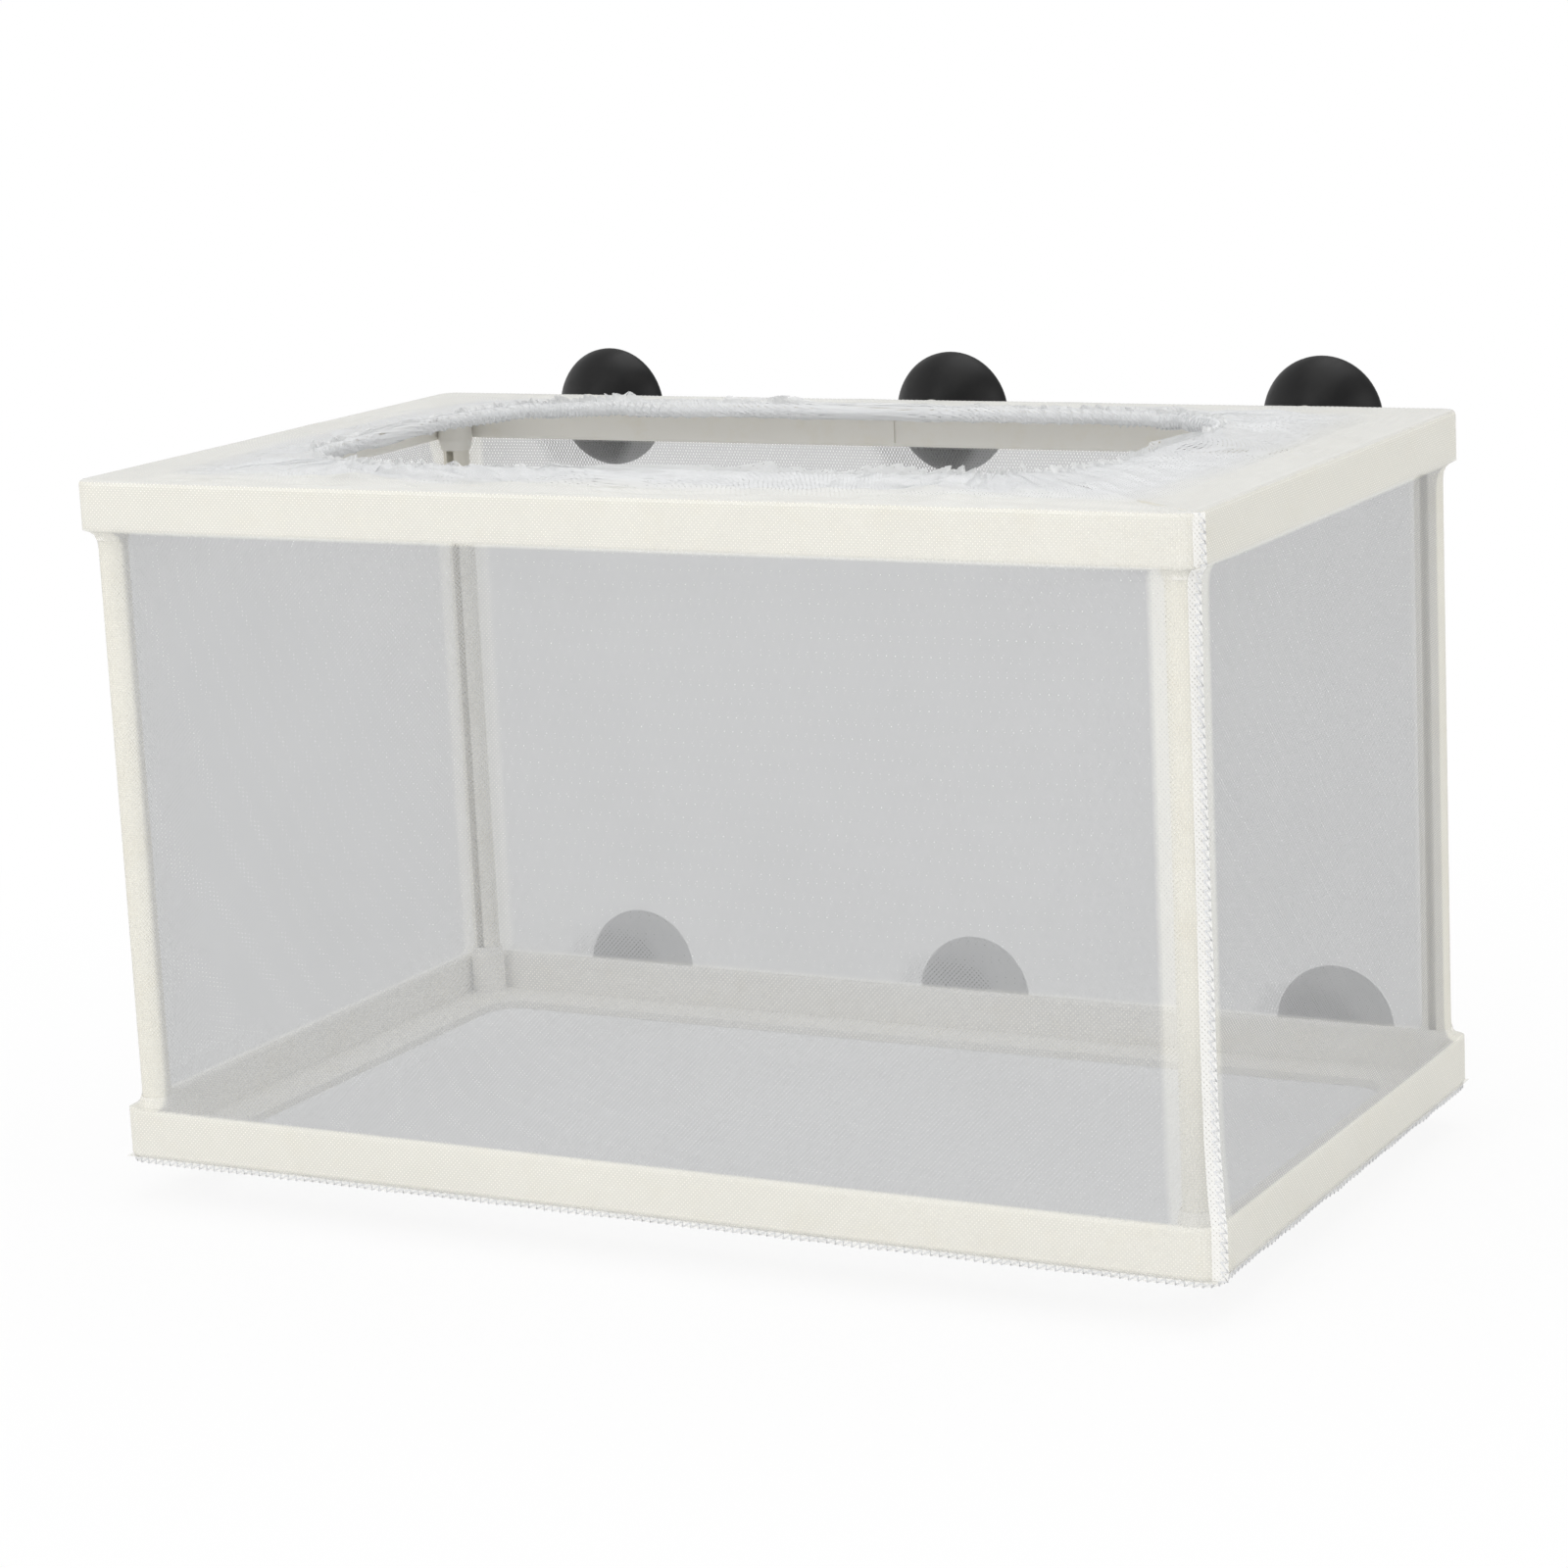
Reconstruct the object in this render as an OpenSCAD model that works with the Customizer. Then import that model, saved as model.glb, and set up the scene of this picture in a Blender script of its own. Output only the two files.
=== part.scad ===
// Fish breeding box: two moulded frames on four grooved posts, dressed in a net bag with a
// gathered mouth, and held to the tank's glass by six suction cups.
// Millimetres, +Z up, +Y towards the glass. The origin is the middle of the plane in which the
// rims of the six suction cups meet the glass.

/* [Frame] */
// Outside length of the frames, left to right
frame_l = 265; // [220:1:320]
// Outside depth of the frames, front to back
frame_d = 154; // [130:1:200]
// Height from the underside of the bottom frame to the top of the top frame
frame_h = 154; // [120:1:200]
// Radius of the frames' outer corners
corner_r = 4; // [3.5:0.5:8]
// Height of the frames' upright wall
wall_h = 11; // [10.5:0.5:15]
// Thickness of the upright wall
wall_t = 2; // [1.6:0.1:2.6]
// Width of the flat flange, measured from the outer face
flange_w = 14; // [12.5:0.5:18]
// Thickness of the flat flange
flange_t = 1.8; // [1.2:0.1:2.6]
// Radius of the opening's corners in the flange
flange_r = 8; // [4:0.5:12]
// Radius on the outer edge where the wall meets the flange
edge_r = 0.9; // [0.4:0.1:1.4]
// Width of the rib on the inner face of the top frame's rear wall
rib_w = 4; // [2:0.5:6]
// How far that rib stands off the wall
rib_t = 0.6; // [0.4:0.1:1.2]
// Distance of that rib from the middle of the wall, to the left
rib_shift = 8.5; // [0:0.5:14]

/* [Posts] */
// Diameter of the round posts
post_d = 6.4; // [5.6:0.1:7]
// Width of the groove down each post
groove_w = 2; // [1.4:0.1:2.4]
// Depth of the groove from the post's surface
groove_depth = 2.8; // [2:0.1:3.4]
// Wall of the sockets that the posts plug into
socket_t = 0.9; // [0.8:0.1:1.4]
// How far each socket is sunk into the two walls beside it
socket_sink = 0.5; // [0.3:0.1:0.8]
// Height of each socket's tapered mouth beyond the wall
mouth_taper_h = 2.4; // [1:0.2:4]
// Gap all round between a post and its socket
post_gap = 0.1; // [0.05:0.01:0.2]

/* [Suction cups] */
// Diameter of a suction cup's rim
cup_d = 29; // [24:0.5:34]
// Height of a cup from the seat of its neck to its rim
cup_h = 11.6; // [9:0.2:15]
// Radius of the dome where the neck begins
crown_r = 4.2; // [3.4:0.1:6]
// Width of the flat land round the rim
land_w = 1.2; // [0.8:0.1:2]
// Height of the rim's upright edge
rim_t = 0.8; // [0.6:0.1:1.2]
// Depth of the hollow under the rim
hollow_depth = 4; // [2:0.2:5.6]
// Distance from each end of the frames to the axes of the outer cups
cup_end_gap = 38.5; // [34:0.5:50]
// Height of the cups' axes above or below the flange's outer face
cup_row = 5; // [4.9:0.05:5.5]
// Radius of a cup's neck
neck_r = 2.4; // [1.8:0.1:2.8]
// Radius of the bulb that holds the neck in its socket
bulb_r = 3.1; // [2.9:0.1:3.3]
// Chamfer that leads the bulb into its socket
bulb_chamfer = 0.6; // [0.3:0.1:1]
// Running gap round the neck
neck_gap = 0.05; // [0.02:0.01:0.1]
// Gap round the bulb and at both of its ends
bulb_gap = 0.2; // [0.1:0.05:0.3]
// Outer radius of the cup sockets on the rear walls
boss_r = 4.5; // [4.4:0.05:4.6]
// Length of the cup sockets behind the rear walls
boss_len = 5; // [4:0.2:8]
// Thickness of the lip at each cup socket's mouth
lip_t = 1.4; // [1:0.1:2]
// Floor left in the rear wall at the bottom of each cup socket
blind_t = 0.8; // [0.5:0.1:1.2]
// Gap between a cup's seat and its socket
seat_gap = 0.3; // [0.2:0.05:0.6]

/* [Net bag] */
// Thickness of the net
net_t = 0.5; // [0.3:0.05:0.8]
// Pitch of the net's diamond gaps, which is fitted to each panel
net_pitch = 18; // [17:1:26]
// Width of the net's strands between the gaps
strand_w = 1.4; // [1:0.1:3]
// Width of the closed net between the gaps and the frames and posts
net_border = 3; // [1:0.5:8]
// Gap between the rear net and the cup sockets that pass through it
boss_hole_gap = 0.2; // [0.1:0.05:0.4]
// Width of the seam allowance round the floor
seam_w = 1.2; // [0.8:0.1:2]
// How far the floor's seam allowance hangs below the net
seam_h = 1.5; // [0.8:0.1:2.5]
// Width of the upright seam at the front right corner
corner_seam_w = 1.6; // [1:0.1:2.5]
// How far the upright seam stands off the net
corner_seam_t = 0.9; // [0.5:0.1:1.5]

/* [Gathered mouth] */
// Distance from the frames' front face to the hem, whose elastic rests on the front flange
collar_front = 13; // [11:0.5:30]
// Distance from the frames' rear face to the hem
collar_rear = 38; // [20:0.5:45]
// Distance from the frames' left face to the hem
collar_left = 43; // [20:0.5:50]
// Distance from the frames' right face to the hem
collar_right = 32; // [20:0.5:50]
// How far the front edge of the mouth runs off square from end to end
mouth_skew = 6; // [0:0.5:10]
// Number of folds round the mouth
fold_count = 17; // [12:1:17]
// Height of the folds at the mouth
fold_h = 2; // [1:0.2:4]
// Diameter of the elastic cord in the hem
elastic_d = 1.5; // [1:0.1:2]
// Gap between the elastic cord and the hem round it
elastic_gap = 0.4; // [0.3:0.05:0.6]

/* [Hidden] */
$fn = 64;

// Depth by which a key is rooted in its flange
key_root = 0.01;

// Places of the frames
rear_y = -(cup_h + seat_gap + boss_len);
mid_y = rear_y - frame_d / 2;
top_z = frame_h / 2;
row_z = frame_h / 2 - cup_row;
cup_pitch = frame_l / 2 - cup_end_gap;

// Places of the posts
socket_r = post_d / 2 + post_gap + socket_t;
post_inset = wall_t + socket_r - socket_sink;
post_x = frame_l / 2 - post_inset;
post_y = frame_d / 2 - post_inset;

// Places across the net
outer_l = frame_l + 2 * net_t;
outer_d = frame_d + 2 * net_t;
outer_r = corner_r + net_t;
bar_band = wall_h + net_border;
net_window_h = frame_h - 2 * bar_band;

// Stations round the mouth: four to each fold, shared between the long and the short sides
stations = 4 * fold_count;
long_stations = round(stations / 2 * outer_l / (outer_l + outer_d));
side_stations = stations / 2 - long_stations;
hem_r = elastic_d / 2 + elastic_gap + net_t;
hem_angles = [45, 105, 165, 225, 285, 345];
sheet_steps = [0, 0.4, 0.75];
mouth_l = frame_l - collar_left - collar_right;
mouth_w = frame_d - collar_front - collar_rear;
mouth_shift_x = (collar_left - collar_right) / 2;
mouth_shift_y = (collar_rear - collar_front) / 2;
mouth_squareness = 0.42;
elastic_sides = 8;

frame_colour = [0.90, 0.89, 0.86];
net_colour = [0.86, 0.87, 0.88];
rubber_colour = [0.09, 0.09, 0.09];

// ---- Shapes that repeat -------------------------------------------------------------------

// A rectangle of l by d with round corners, centred on the origin
module rounded_rect(l, d, r) {
    square([l - 2 * r, d], center = true);
    square([l, d - 2 * r], center = true);
    for (sx = [-1, 1]) {
        for (sy = [-1, 1]) {
            translate([sx * (l / 2 - r), sy * (d / 2 - r)]) circle(r = r);
        }
    }
}

// A flat ring between two rounded rectangles
module ring_2d(l, d, r, width, inner_r) {
    difference() {
        rounded_rect(l, d, r);
        rounded_rect(l - 2 * width, d - 2 * width, inner_r);
    }
}

// Section of the upright wall: x is the distance from the corner's centre, y the height.
// The outer lower edge is round, and so is the top of the wall.
module wall_section() {
    translate([corner_r - wall_t, 0]) square([wall_t - edge_r, wall_h - wall_t / 2]);
    translate([corner_r - wall_t, edge_r]) square([wall_t, wall_h - wall_t / 2 - edge_r]);
    translate([corner_r - edge_r, edge_r]) circle(r = edge_r);
    translate([corner_r - wall_t / 2, wall_h - wall_t / 2]) circle(d = wall_t);
}

// One straight length of the wall, along X, with its outer face towards -Y at y = -d / 2
module wall_bar(length, d) {
    translate([-length / 2, -d / 2 + corner_r, 0])
        rotate([90, 0, 90])
            mirror([1, 0, 0])
                linear_extrude(length) wall_section();
}

// The upright wall all round: four straight bars and four turned corners
module wall_ring() {
    for (turn = [0, 180]) {
        rotate(turn) wall_bar(frame_l - 2 * corner_r, frame_d);
        rotate(turn + 90) wall_bar(frame_d - 2 * corner_r, frame_l);
    }
    for (corner = [[1, 1, 0], [-1, 1, 90], [-1, -1, 180], [1, -1, 270]]) {
        translate([corner[0] * (frame_l / 2 - corner_r), corner[1] * (frame_d / 2 - corner_r), 0])
            rotate(corner[2])
                rotate_extrude(angle = 90) wall_section();
    }
}

// The flat flange, whose rim stays inside the wall's round lower edge
module flange() {
    linear_extrude(flange_t)
        ring_2d(frame_l - 2 * edge_r, frame_d - 2 * edge_r, corner_r - edge_r,
                flange_w - edge_r, flange_r);
}

// Outside of the socket for one post, with its tapered mouth
module post_socket() {
    cylinder(r = socket_r, h = wall_h);
    translate([0, 0, wall_h])
        cylinder(r1 = socket_r, r2 = post_d / 2 + post_gap + socket_t / 3, h = mouth_taper_h);
}

// Bore of the socket for one post
module post_bore() {
    translate([0, 0, flange_t]) cylinder(d = post_d + 2 * post_gap, h = wall_h + mouth_taper_h);
}

// Key in the socket, which fits the groove of a post whose groove faces +Y
module post_key() {
    key_w = groove_w - 2 * post_gap;
    key_start = post_d / 2 - groove_depth + post_gap;
    translate([-key_w / 2, key_start, flange_t - key_root])
        cube([key_w, post_d / 2 + post_gap + socket_t / 2 - key_start, wall_h - flange_t]);
}

// Outside of one cup socket, standing off the rear wall towards +Y
module cup_boss() {
    rotate([-90, 0, 0]) translate([0, 0, -wall_t / 2]) cylinder(r = boss_r, h = wall_t / 2 + boss_len);
}

// Blind bore of one cup socket: a lip round the neck, and a chamber for the bulb behind it
module cup_bore() {
    rotate([-90, 0, 0]) {
        translate([0, 0, -wall_t + blind_t])
            cylinder(r = bulb_r + bulb_gap, h = boss_len - lip_t + wall_t - blind_t);
        cylinder(r = neck_r + neck_gap, h = boss_len + lip_t);
    }
}

// The moulding that both frames share, flange at z = 0 and wall upwards
module frame_moulding() {
    difference() {
        union() {
            wall_ring();
            flange();
            for (sx = [-1, 1]) {
                for (sy = [-1, 1]) {
                    translate([sx * post_x, sy * post_y, 0]) post_socket();
                }
            }
            for (i = [-1 : 1]) {
                translate([i * cup_pitch, frame_d / 2, cup_row]) cup_boss();
            }
        }
        for (sx = [-1, 1]) {
            for (sy = [-1, 1]) {
                translate([sx * post_x, sy * post_y, 0]) post_bore();
            }
        }
        for (i = [-1 : 1]) {
            translate([i * cup_pitch, frame_d / 2, cup_row]) cup_bore();
        }
    }
    for (sx = [-1, 1]) {
        translate([sx * post_x, -post_y, 0]) post_key();
        translate([sx * post_x, post_y, 0]) rotate(180) post_key();
    }
}

// The diamond gaps between a panel's diagonal strands, which fill a window of w by h round the
// origin. The window's edge cuts the outermost diamonds in half.
module net_gaps(w, h) {
    columns = round(w / net_pitch);
    rows = round(h / net_pitch);
    half_w = w / columns / 2;
    half_h = h / rows / 2;
    open_share = 1 - strand_w / 2 * norm([half_w, half_h]) / (half_w * half_h);
    diamond = open_share * [[half_w, 0], [0, half_h], [-half_w, 0], [0, -half_h]];
    intersection() {
        square([w, h], center = true);
        for (i = [-columns : columns]) {
            for (j = [-rows : rows]) {
                if ((i + j) % 2 == 0) {
                    translate([i * half_w, j * half_h]) polygon(diamond);
                }
            }
        }
    }
}

// The part of the bag's upright skirt that lies in front of the box, cut at 45 degrees in the
// middle of both round corners; l is the side's own length and d the box's depth behind it
module skirt_side(l, d) {
    difference() {
        translate([0, 0, -frame_h / 2]) linear_extrude(frame_h)
            intersection() {
                ring_2d(l, d, outer_r, net_t, corner_r);
                polygon([
                    [-l / 2 - net_t, -d / 2 - net_t], [l / 2 + net_t, -d / 2 - net_t],
                    [l / 2 - outer_r, -d / 2 + outer_r], [-l / 2 + outer_r, -d / 2 + outer_r]
                ]);
            }
        translate([0, -d / 2 + 2 * net_t, 0])
            rotate([90, 0, 0])
                linear_extrude(4 * net_t)
                    net_gaps(l - 2 * (post_inset + post_d / 2 + net_border), net_window_h);
    }
}

// ---- Frames -------------------------------------------------------------------------------

module bottom_frame() {
    color(frame_colour)
        translate([0, mid_y, -top_z]) frame_moulding();
}

module top_frame() {
    color(frame_colour)
        translate([0, mid_y, top_z]) {
            mirror([0, 0, 1]) frame_moulding();
            translate([-rib_shift - rib_w / 2, frame_d / 2 - wall_t - rib_t, -wall_h + wall_t / 2])
                cube([rib_w, rib_t + wall_t / 2, wall_h - wall_t / 2 - flange_t / 2]);
        }
}

// ---- Posts --------------------------------------------------------------------------------

// A round post from flange to flange; side_x and side_y say which corner, and its groove faces
// the opposite side of the box
module post(side_x, side_y) {
    translate([side_x * post_x, mid_y + side_y * post_y, -top_z + flange_t])
        rotate(side_y > 0 ? 180 : 0)
            linear_extrude(frame_h - 2 * flange_t)
                difference() {
                    circle(d = post_d);
                    translate([-groove_w / 2, post_d / 2 - groove_depth]) square([groove_w, post_d]);
                }
}

module post_front_left() { color(frame_colour) post(-1, -1); }
module post_front_right() { color(frame_colour) post(1, -1); }
module post_rear_left() { color(frame_colour) post(-1, 1); }
module post_rear_right() { color(frame_colour) post(1, 1); }

// ---- Suction cups -------------------------------------------------------------------------

// Radius of the full, round dome at a share t of its height
function dome_radius(t) =
    crown_r + (cup_d / 2 - crown_r) * (0.8 * sin(90 * t) + 0.2 * pow(t, 1.6));

// A cup turned about its axis: bulb, neck, seat, dome, rim and hollow.
// Its axis is Z here, with the seat at z = 0 and the rim at z = cup_h.
module turned_cup() {
    dome_steps = 14;
    hollow_r = cup_d / 2 - land_w;
    neck_len = seat_gap + lip_t + bulb_gap;
    bulb_len = boss_len + wall_t - blind_t - lip_t - 2 * bulb_gap;
    profile = concat(
        [
            [0, -neck_len - bulb_len],
            [bulb_r - bulb_chamfer, -neck_len - bulb_len],
            [bulb_r, -neck_len - bulb_len + bulb_chamfer],
            [bulb_r, -neck_len],
            [neck_r, -neck_len],
            [neck_r, 0]
        ],
        [for (i = [0 : dome_steps]) [dome_radius(i / dome_steps), (cup_h - rim_t) * i / dome_steps]],
        [[cup_d / 2, cup_h]],
        [for (i = [0 : dome_steps])
            [hollow_r * cos(90 * i / dome_steps), cup_h - hollow_depth * sin(90 * i / dome_steps)]]
    );
    rotate_extrude() polygon(profile);
}

// A cup in its socket; column is -1, 0 or 1 from left to right, row 1 on top and -1 below
module cup(column, row) {
    color(rubber_colour)
        translate([column * cup_pitch, -cup_h, row * row_z])
            rotate([-90, 0, 0])
                turned_cup();
}

module suction_cup_top_left() { cup(-1, 1); }
module suction_cup_top_middle() { cup(0, 1); }
module suction_cup_top_right() { cup(1, 1); }
module suction_cup_bottom_left() { cup(-1, -1); }
module suction_cup_bottom_middle() { cup(0, -1); }
module suction_cup_bottom_right() { cup(1, -1); }

// ---- Net bag ------------------------------------------------------------------------------

module net_front() {
    color(net_colour) translate([0, mid_y, 0]) skirt_side(outer_l, outer_d);
}

module net_rear() {
    color(net_colour)
        difference() {
            translate([0, mid_y, 0]) rotate(180) skirt_side(outer_l, outer_d);
            for (i = [-1 : 1]) {
                for (row = [-1, 1]) {
                    translate([i * cup_pitch, rear_y - net_t, row * row_z])
                        rotate([-90, 0, 0]) cylinder(r = boss_r + boss_hole_gap, h = 3 * net_t);
                }
            }
        }
}

module net_left() {
    color(net_colour) translate([0, mid_y, 0]) rotate(-90) skirt_side(outer_d, outer_l);
}

module net_right() {
    color(net_colour) translate([0, mid_y, 0]) rotate(90) skirt_side(outer_d, outer_l);
}

module net_floor() {
    color(net_colour)
        translate([0, mid_y, -top_z - net_t])
            linear_extrude(net_t)
                difference() {
                    rounded_rect(outer_l, outer_d, outer_r);
                    net_gaps(frame_l - 2 * (flange_w + net_border), frame_d - 2 * (flange_w + net_border));
                }
}

// The skirt's upright seam, standing on the net at the front right corner
module corner_seam() {
    color(net_colour)
        translate([outer_l / 2 - outer_r, mid_y - outer_d / 2 + outer_r, -top_z])
            rotate(-45)
                linear_extrude(frame_h)
                    difference() {
                        translate([0, -corner_seam_w / 2])
                            square([outer_r + corner_seam_t, corner_seam_w]);
                        circle(r = outer_r);
                    }
}

// The seam allowance that joins skirt and floor, hanging below the floor's edge
module floor_seam() {
    color(net_colour)
        translate([0, mid_y, -top_z - net_t - seam_h])
            linear_extrude(seam_h)
                ring_2d(outer_l, outer_d, outer_r, seam_w, outer_r - seam_w);
}

// ---- Gathered mouth -----------------------------------------------------------------------

// Sign of a number, with zero counted as positive
function side(v) = v < 0 ? -1 : 1;

// Point on the bag's upper outer edge at station i, counted from the front right corner
// against the clock. Each corner has a station, drawn in to the round corner.
function edge_point(i) =
    let (
        right = i / side_stations,
        rear = (i - side_stations) / long_stations,
        left = (i - side_stations - long_stations) / side_stations,
        front = (i - 2 * side_stations - long_stations) / long_stations,
        p = right < 1 ? [1, 2 * right - 1]
            : rear < 1 ? [1 - 2 * rear, 1]
            : left < 1 ? [-1, 1 - 2 * left]
            : [2 * front - 1, -1],
        pull = abs(p[0]) == 1 && abs(p[1]) == 1 ? outer_r * (1 - cos(45)) : 0
    )
    [p[0] * (outer_l / 2 - pull), p[1] * (outer_d / 2 - pull)];

// Point on the hem's centre line at station i: a rounded oblong whose front edge runs askew
function mouth_point(i) =
    let (
        p = edge_point(i),
        a = atan2(p[1] / outer_d, p[0] / outer_l),
        x = side(cos(a)) * pow(abs(cos(a)), mouth_squareness) * mouth_l / 2,
        y = side(sin(a)) * pow(abs(sin(a)), mouth_squareness) * mouth_w / 2,
        skew = -2 * min(y, 0) / mouth_w * mouth_skew * x / mouth_l
    )
    [x + mouth_shift_x, y - mouth_shift_y + skew];

// Direction from the hem out to the box's edge at station i
function outward(i) =
    let (v = edge_point(i) - mouth_point(i))
    v / norm(v);

// Height of the fold that crosses the mouth at station i: one fold in four stations, uneven
// round the mouth
function fold_rise(i) =
    fold_h * (0.5 + 0.5 * cos(90 * i)) * (0.75 + 0.25 * sin(360 * 5 * i / stations + 40));

// Height of the hem's centre line at station i
function hem_z(i) = top_z + hem_r + fold_rise(i);

// Point of the gathered sheet's upper face at station i, a share s of the way to the hem
function sheet_point(i, s) =
    let (
        edge = edge_point(i),
        hem_side = mouth_point(i) + hem_r * outward(i),
        p = edge + s * (hem_side - edge),
        rise = pow(s, 1.5) * (1.5 * hem_r + fold_rise(i))
    )
    [p[0], p[1], top_z + net_t + rise];

// Point at radius r and angle a round the hem's centre line at station i
function hem_point(i, r, a) =
    let (
        c = mouth_point(i),
        e = outward(i)
    )
    [c[0] + r * cos(a) * e[0], c[1] + r * cos(a) * e[1], hem_z(i) + r * sin(a)];

// Section of the gathered net at station i: over the sheet, round the hem and back under it
function collar_section(i) = concat(
    [for (s = sheet_steps) sheet_point(i, s)],
    [for (a = hem_angles) hem_point(i, hem_r, a)],
    [for (k = [len(hem_angles) - 1 : -1 : 0]) hem_point(i, hem_r - net_t, hem_angles[k])],
    [for (k = [len(sheet_steps) - 1 : -1 : 0]) sheet_point(i, sheet_steps[k]) - [0, 0, net_t]]
);

// Section of the elastic cord at station i
function elastic_section(i) =
    [for (k = [0 : elastic_sides - 1]) hem_point(i, elastic_d / 2, 360 * k / elastic_sides)];

// A closed ring swept through one section per station
module closed_sweep(sections) {
    n = len(sections);
    k = len(sections[0]);
    points = [for (section = sections) for (p = section) p];
    faces = [
        for (i = [0 : n - 1])
            for (j = [0 : k - 1])
                let (
                    a = i * k + j,
                    b = i * k + (j + 1) % k,
                    c = ((i + 1) % n) * k + (j + 1) % k,
                    d = ((i + 1) % n) * k + j
                )
                for (triangle = [[a, b, c], [a, c, d]]) triangle
    ];
    polyhedron(points, faces);
}

module net_collar() {
    color(net_colour)
        translate([0, mid_y, 0])
            closed_sweep([for (i = [0 : stations - 1]) collar_section(i)]);
}

module elastic_cord() {
    color(net_colour)
        translate([0, mid_y, 0])
            closed_sweep([for (i = [0 : stations - 1]) elastic_section(i)]);
}

top_frame();
bottom_frame();
post_front_left();
post_front_right();
post_rear_left();
post_rear_right();
suction_cup_top_left();
suction_cup_top_middle();
suction_cup_top_right();
suction_cup_bottom_left();
suction_cup_bottom_middle();
suction_cup_bottom_right();
net_front();
net_rear();
net_left();
net_right();
net_floor();
net_collar();
elastic_cord();
corner_seam();
floor_seam();
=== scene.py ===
"""Looks of the fish breeding box: a net bag over two moulded frames, with six suction cups.

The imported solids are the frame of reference. The frames and posts stay as they are and get their
finish here. The net, its seams, the hem and the cups are built here in more detail than the solids
have. Lengths are in millimetres until a piece is finished, and in metres after that.
"""

import logging
import math
from dataclasses import dataclass, field
from enum import Enum
from typing import Callable

import bmesh
import bpy
from mathutils import Matrix, Vector, noise


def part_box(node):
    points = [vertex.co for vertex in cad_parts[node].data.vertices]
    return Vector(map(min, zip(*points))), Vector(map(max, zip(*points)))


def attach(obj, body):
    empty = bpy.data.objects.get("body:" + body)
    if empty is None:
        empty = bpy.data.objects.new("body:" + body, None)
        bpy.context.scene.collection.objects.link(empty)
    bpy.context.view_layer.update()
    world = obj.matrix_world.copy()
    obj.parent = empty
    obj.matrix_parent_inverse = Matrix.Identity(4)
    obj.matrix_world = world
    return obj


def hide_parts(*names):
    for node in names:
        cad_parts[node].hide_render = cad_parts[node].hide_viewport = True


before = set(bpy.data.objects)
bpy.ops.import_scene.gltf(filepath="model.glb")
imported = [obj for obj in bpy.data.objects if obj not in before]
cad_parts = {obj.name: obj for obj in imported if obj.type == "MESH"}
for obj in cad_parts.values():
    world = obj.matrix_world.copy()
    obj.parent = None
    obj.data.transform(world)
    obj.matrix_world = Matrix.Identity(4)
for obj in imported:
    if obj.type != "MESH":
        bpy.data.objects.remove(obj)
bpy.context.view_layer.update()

# Functions that add a node, and that give the point for a place on a cloth and a distance off it
AddNode = Callable[..., bpy.types.Node]
Surface = Callable[[float, float, float], Vector]

LOG = logging.getLogger("breeding_box")
MM = 0.001
# Distance, in millimetres, within which vertices count as one
WELD = 1e-4
# Length, in millimetres, below which a direction can't be told
TINY = 1e-6
FULL_TURN = 2 * math.pi
BOX_BODY = "box"
# Attribute that says what is right behind a strand of the net, and so how much painted light or
# painted shade the strand gets
BACKING = "backing"
PAGE_WHITE = "#ffffff"


# ---- Materials ------------------------------------------------------------------------------


def linear(hex_colour: str) -> tuple[float, float, float, float]:
    """Turns an sRGB colour into the linear one that shaders take.

    Args:
        hex_colour: Six hexadecimal digits after a hash sign.

    Returns:
        Red, green, blue and an alpha of 1.
    """
    shares = [int(hex_colour[i : i + 2], 16) / 255 for i in (1, 3, 5)]
    red, green, blue = (c / 12.92 if c <= 0.04045 else ((c + 0.055) / 1.055) ** 2.4 for c in shares)
    return red, green, blue, 1.0


class Shader:
    """The nodes of a material or of the world, while they are being put together."""

    def __init__(self, owner: bpy.types.Material | bpy.types.World) -> None:
        """Starts with an empty node tree."""
        owner.use_nodes = True
        self.tree = owner.node_tree
        self.tree.nodes.clear()

    def add(self, kind: str, *values: object, **named: object) -> bpy.types.Node:
        """Adds a node with its settings and links.

        An input gets a plain value, the output socket that feeds it, or a node, which feeds it
        from its first output that is in use.

        Args:
            kind: Blender's name for the kind of node, without the ShaderNode that it starts with.
            values: What the first inputs get, in their order.
            named: What the inputs of these names get, with a low line for each space, and in
                small letters the node's own settings.

        Returns:
            The new node.
        """
        node = self.tree.nodes.new(f"ShaderNode{kind}")
        inputs = dict(enumerate(values))
        for name, value in named.items():
            if name.islower():
                setattr(node, name, value)
            else:
                inputs[name.replace("_", " ")] = value
        for socket, value in inputs.items():
            if isinstance(value, bpy.types.Node):
                value = next(output for output in value.outputs if output.enabled)
            if isinstance(value, bpy.types.NodeSocket):
                self.tree.links.new(value, node.inputs[socket])
            else:
                node.inputs[socket].default_value = value
        return node


def per_mm(length: float) -> float:
    """Scale of a pattern on Object coordinates whose features are this many millimetres wide."""
    return 1 / (length * MM)


@dataclass(frozen=True)
class Finish:
    """A named material. Each kind of finish adds its own sizes and nodes."""

    name: str

    def material(self) -> bpy.types.Material:
        """Builds the material."""
        material = bpy.data.materials.new(self.name)
        self.fill(Shader(material).add)
        return material

    def fill(self, add: AddNode) -> None:
        """Adds the material's nodes."""
        raise NotImplementedError


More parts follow.
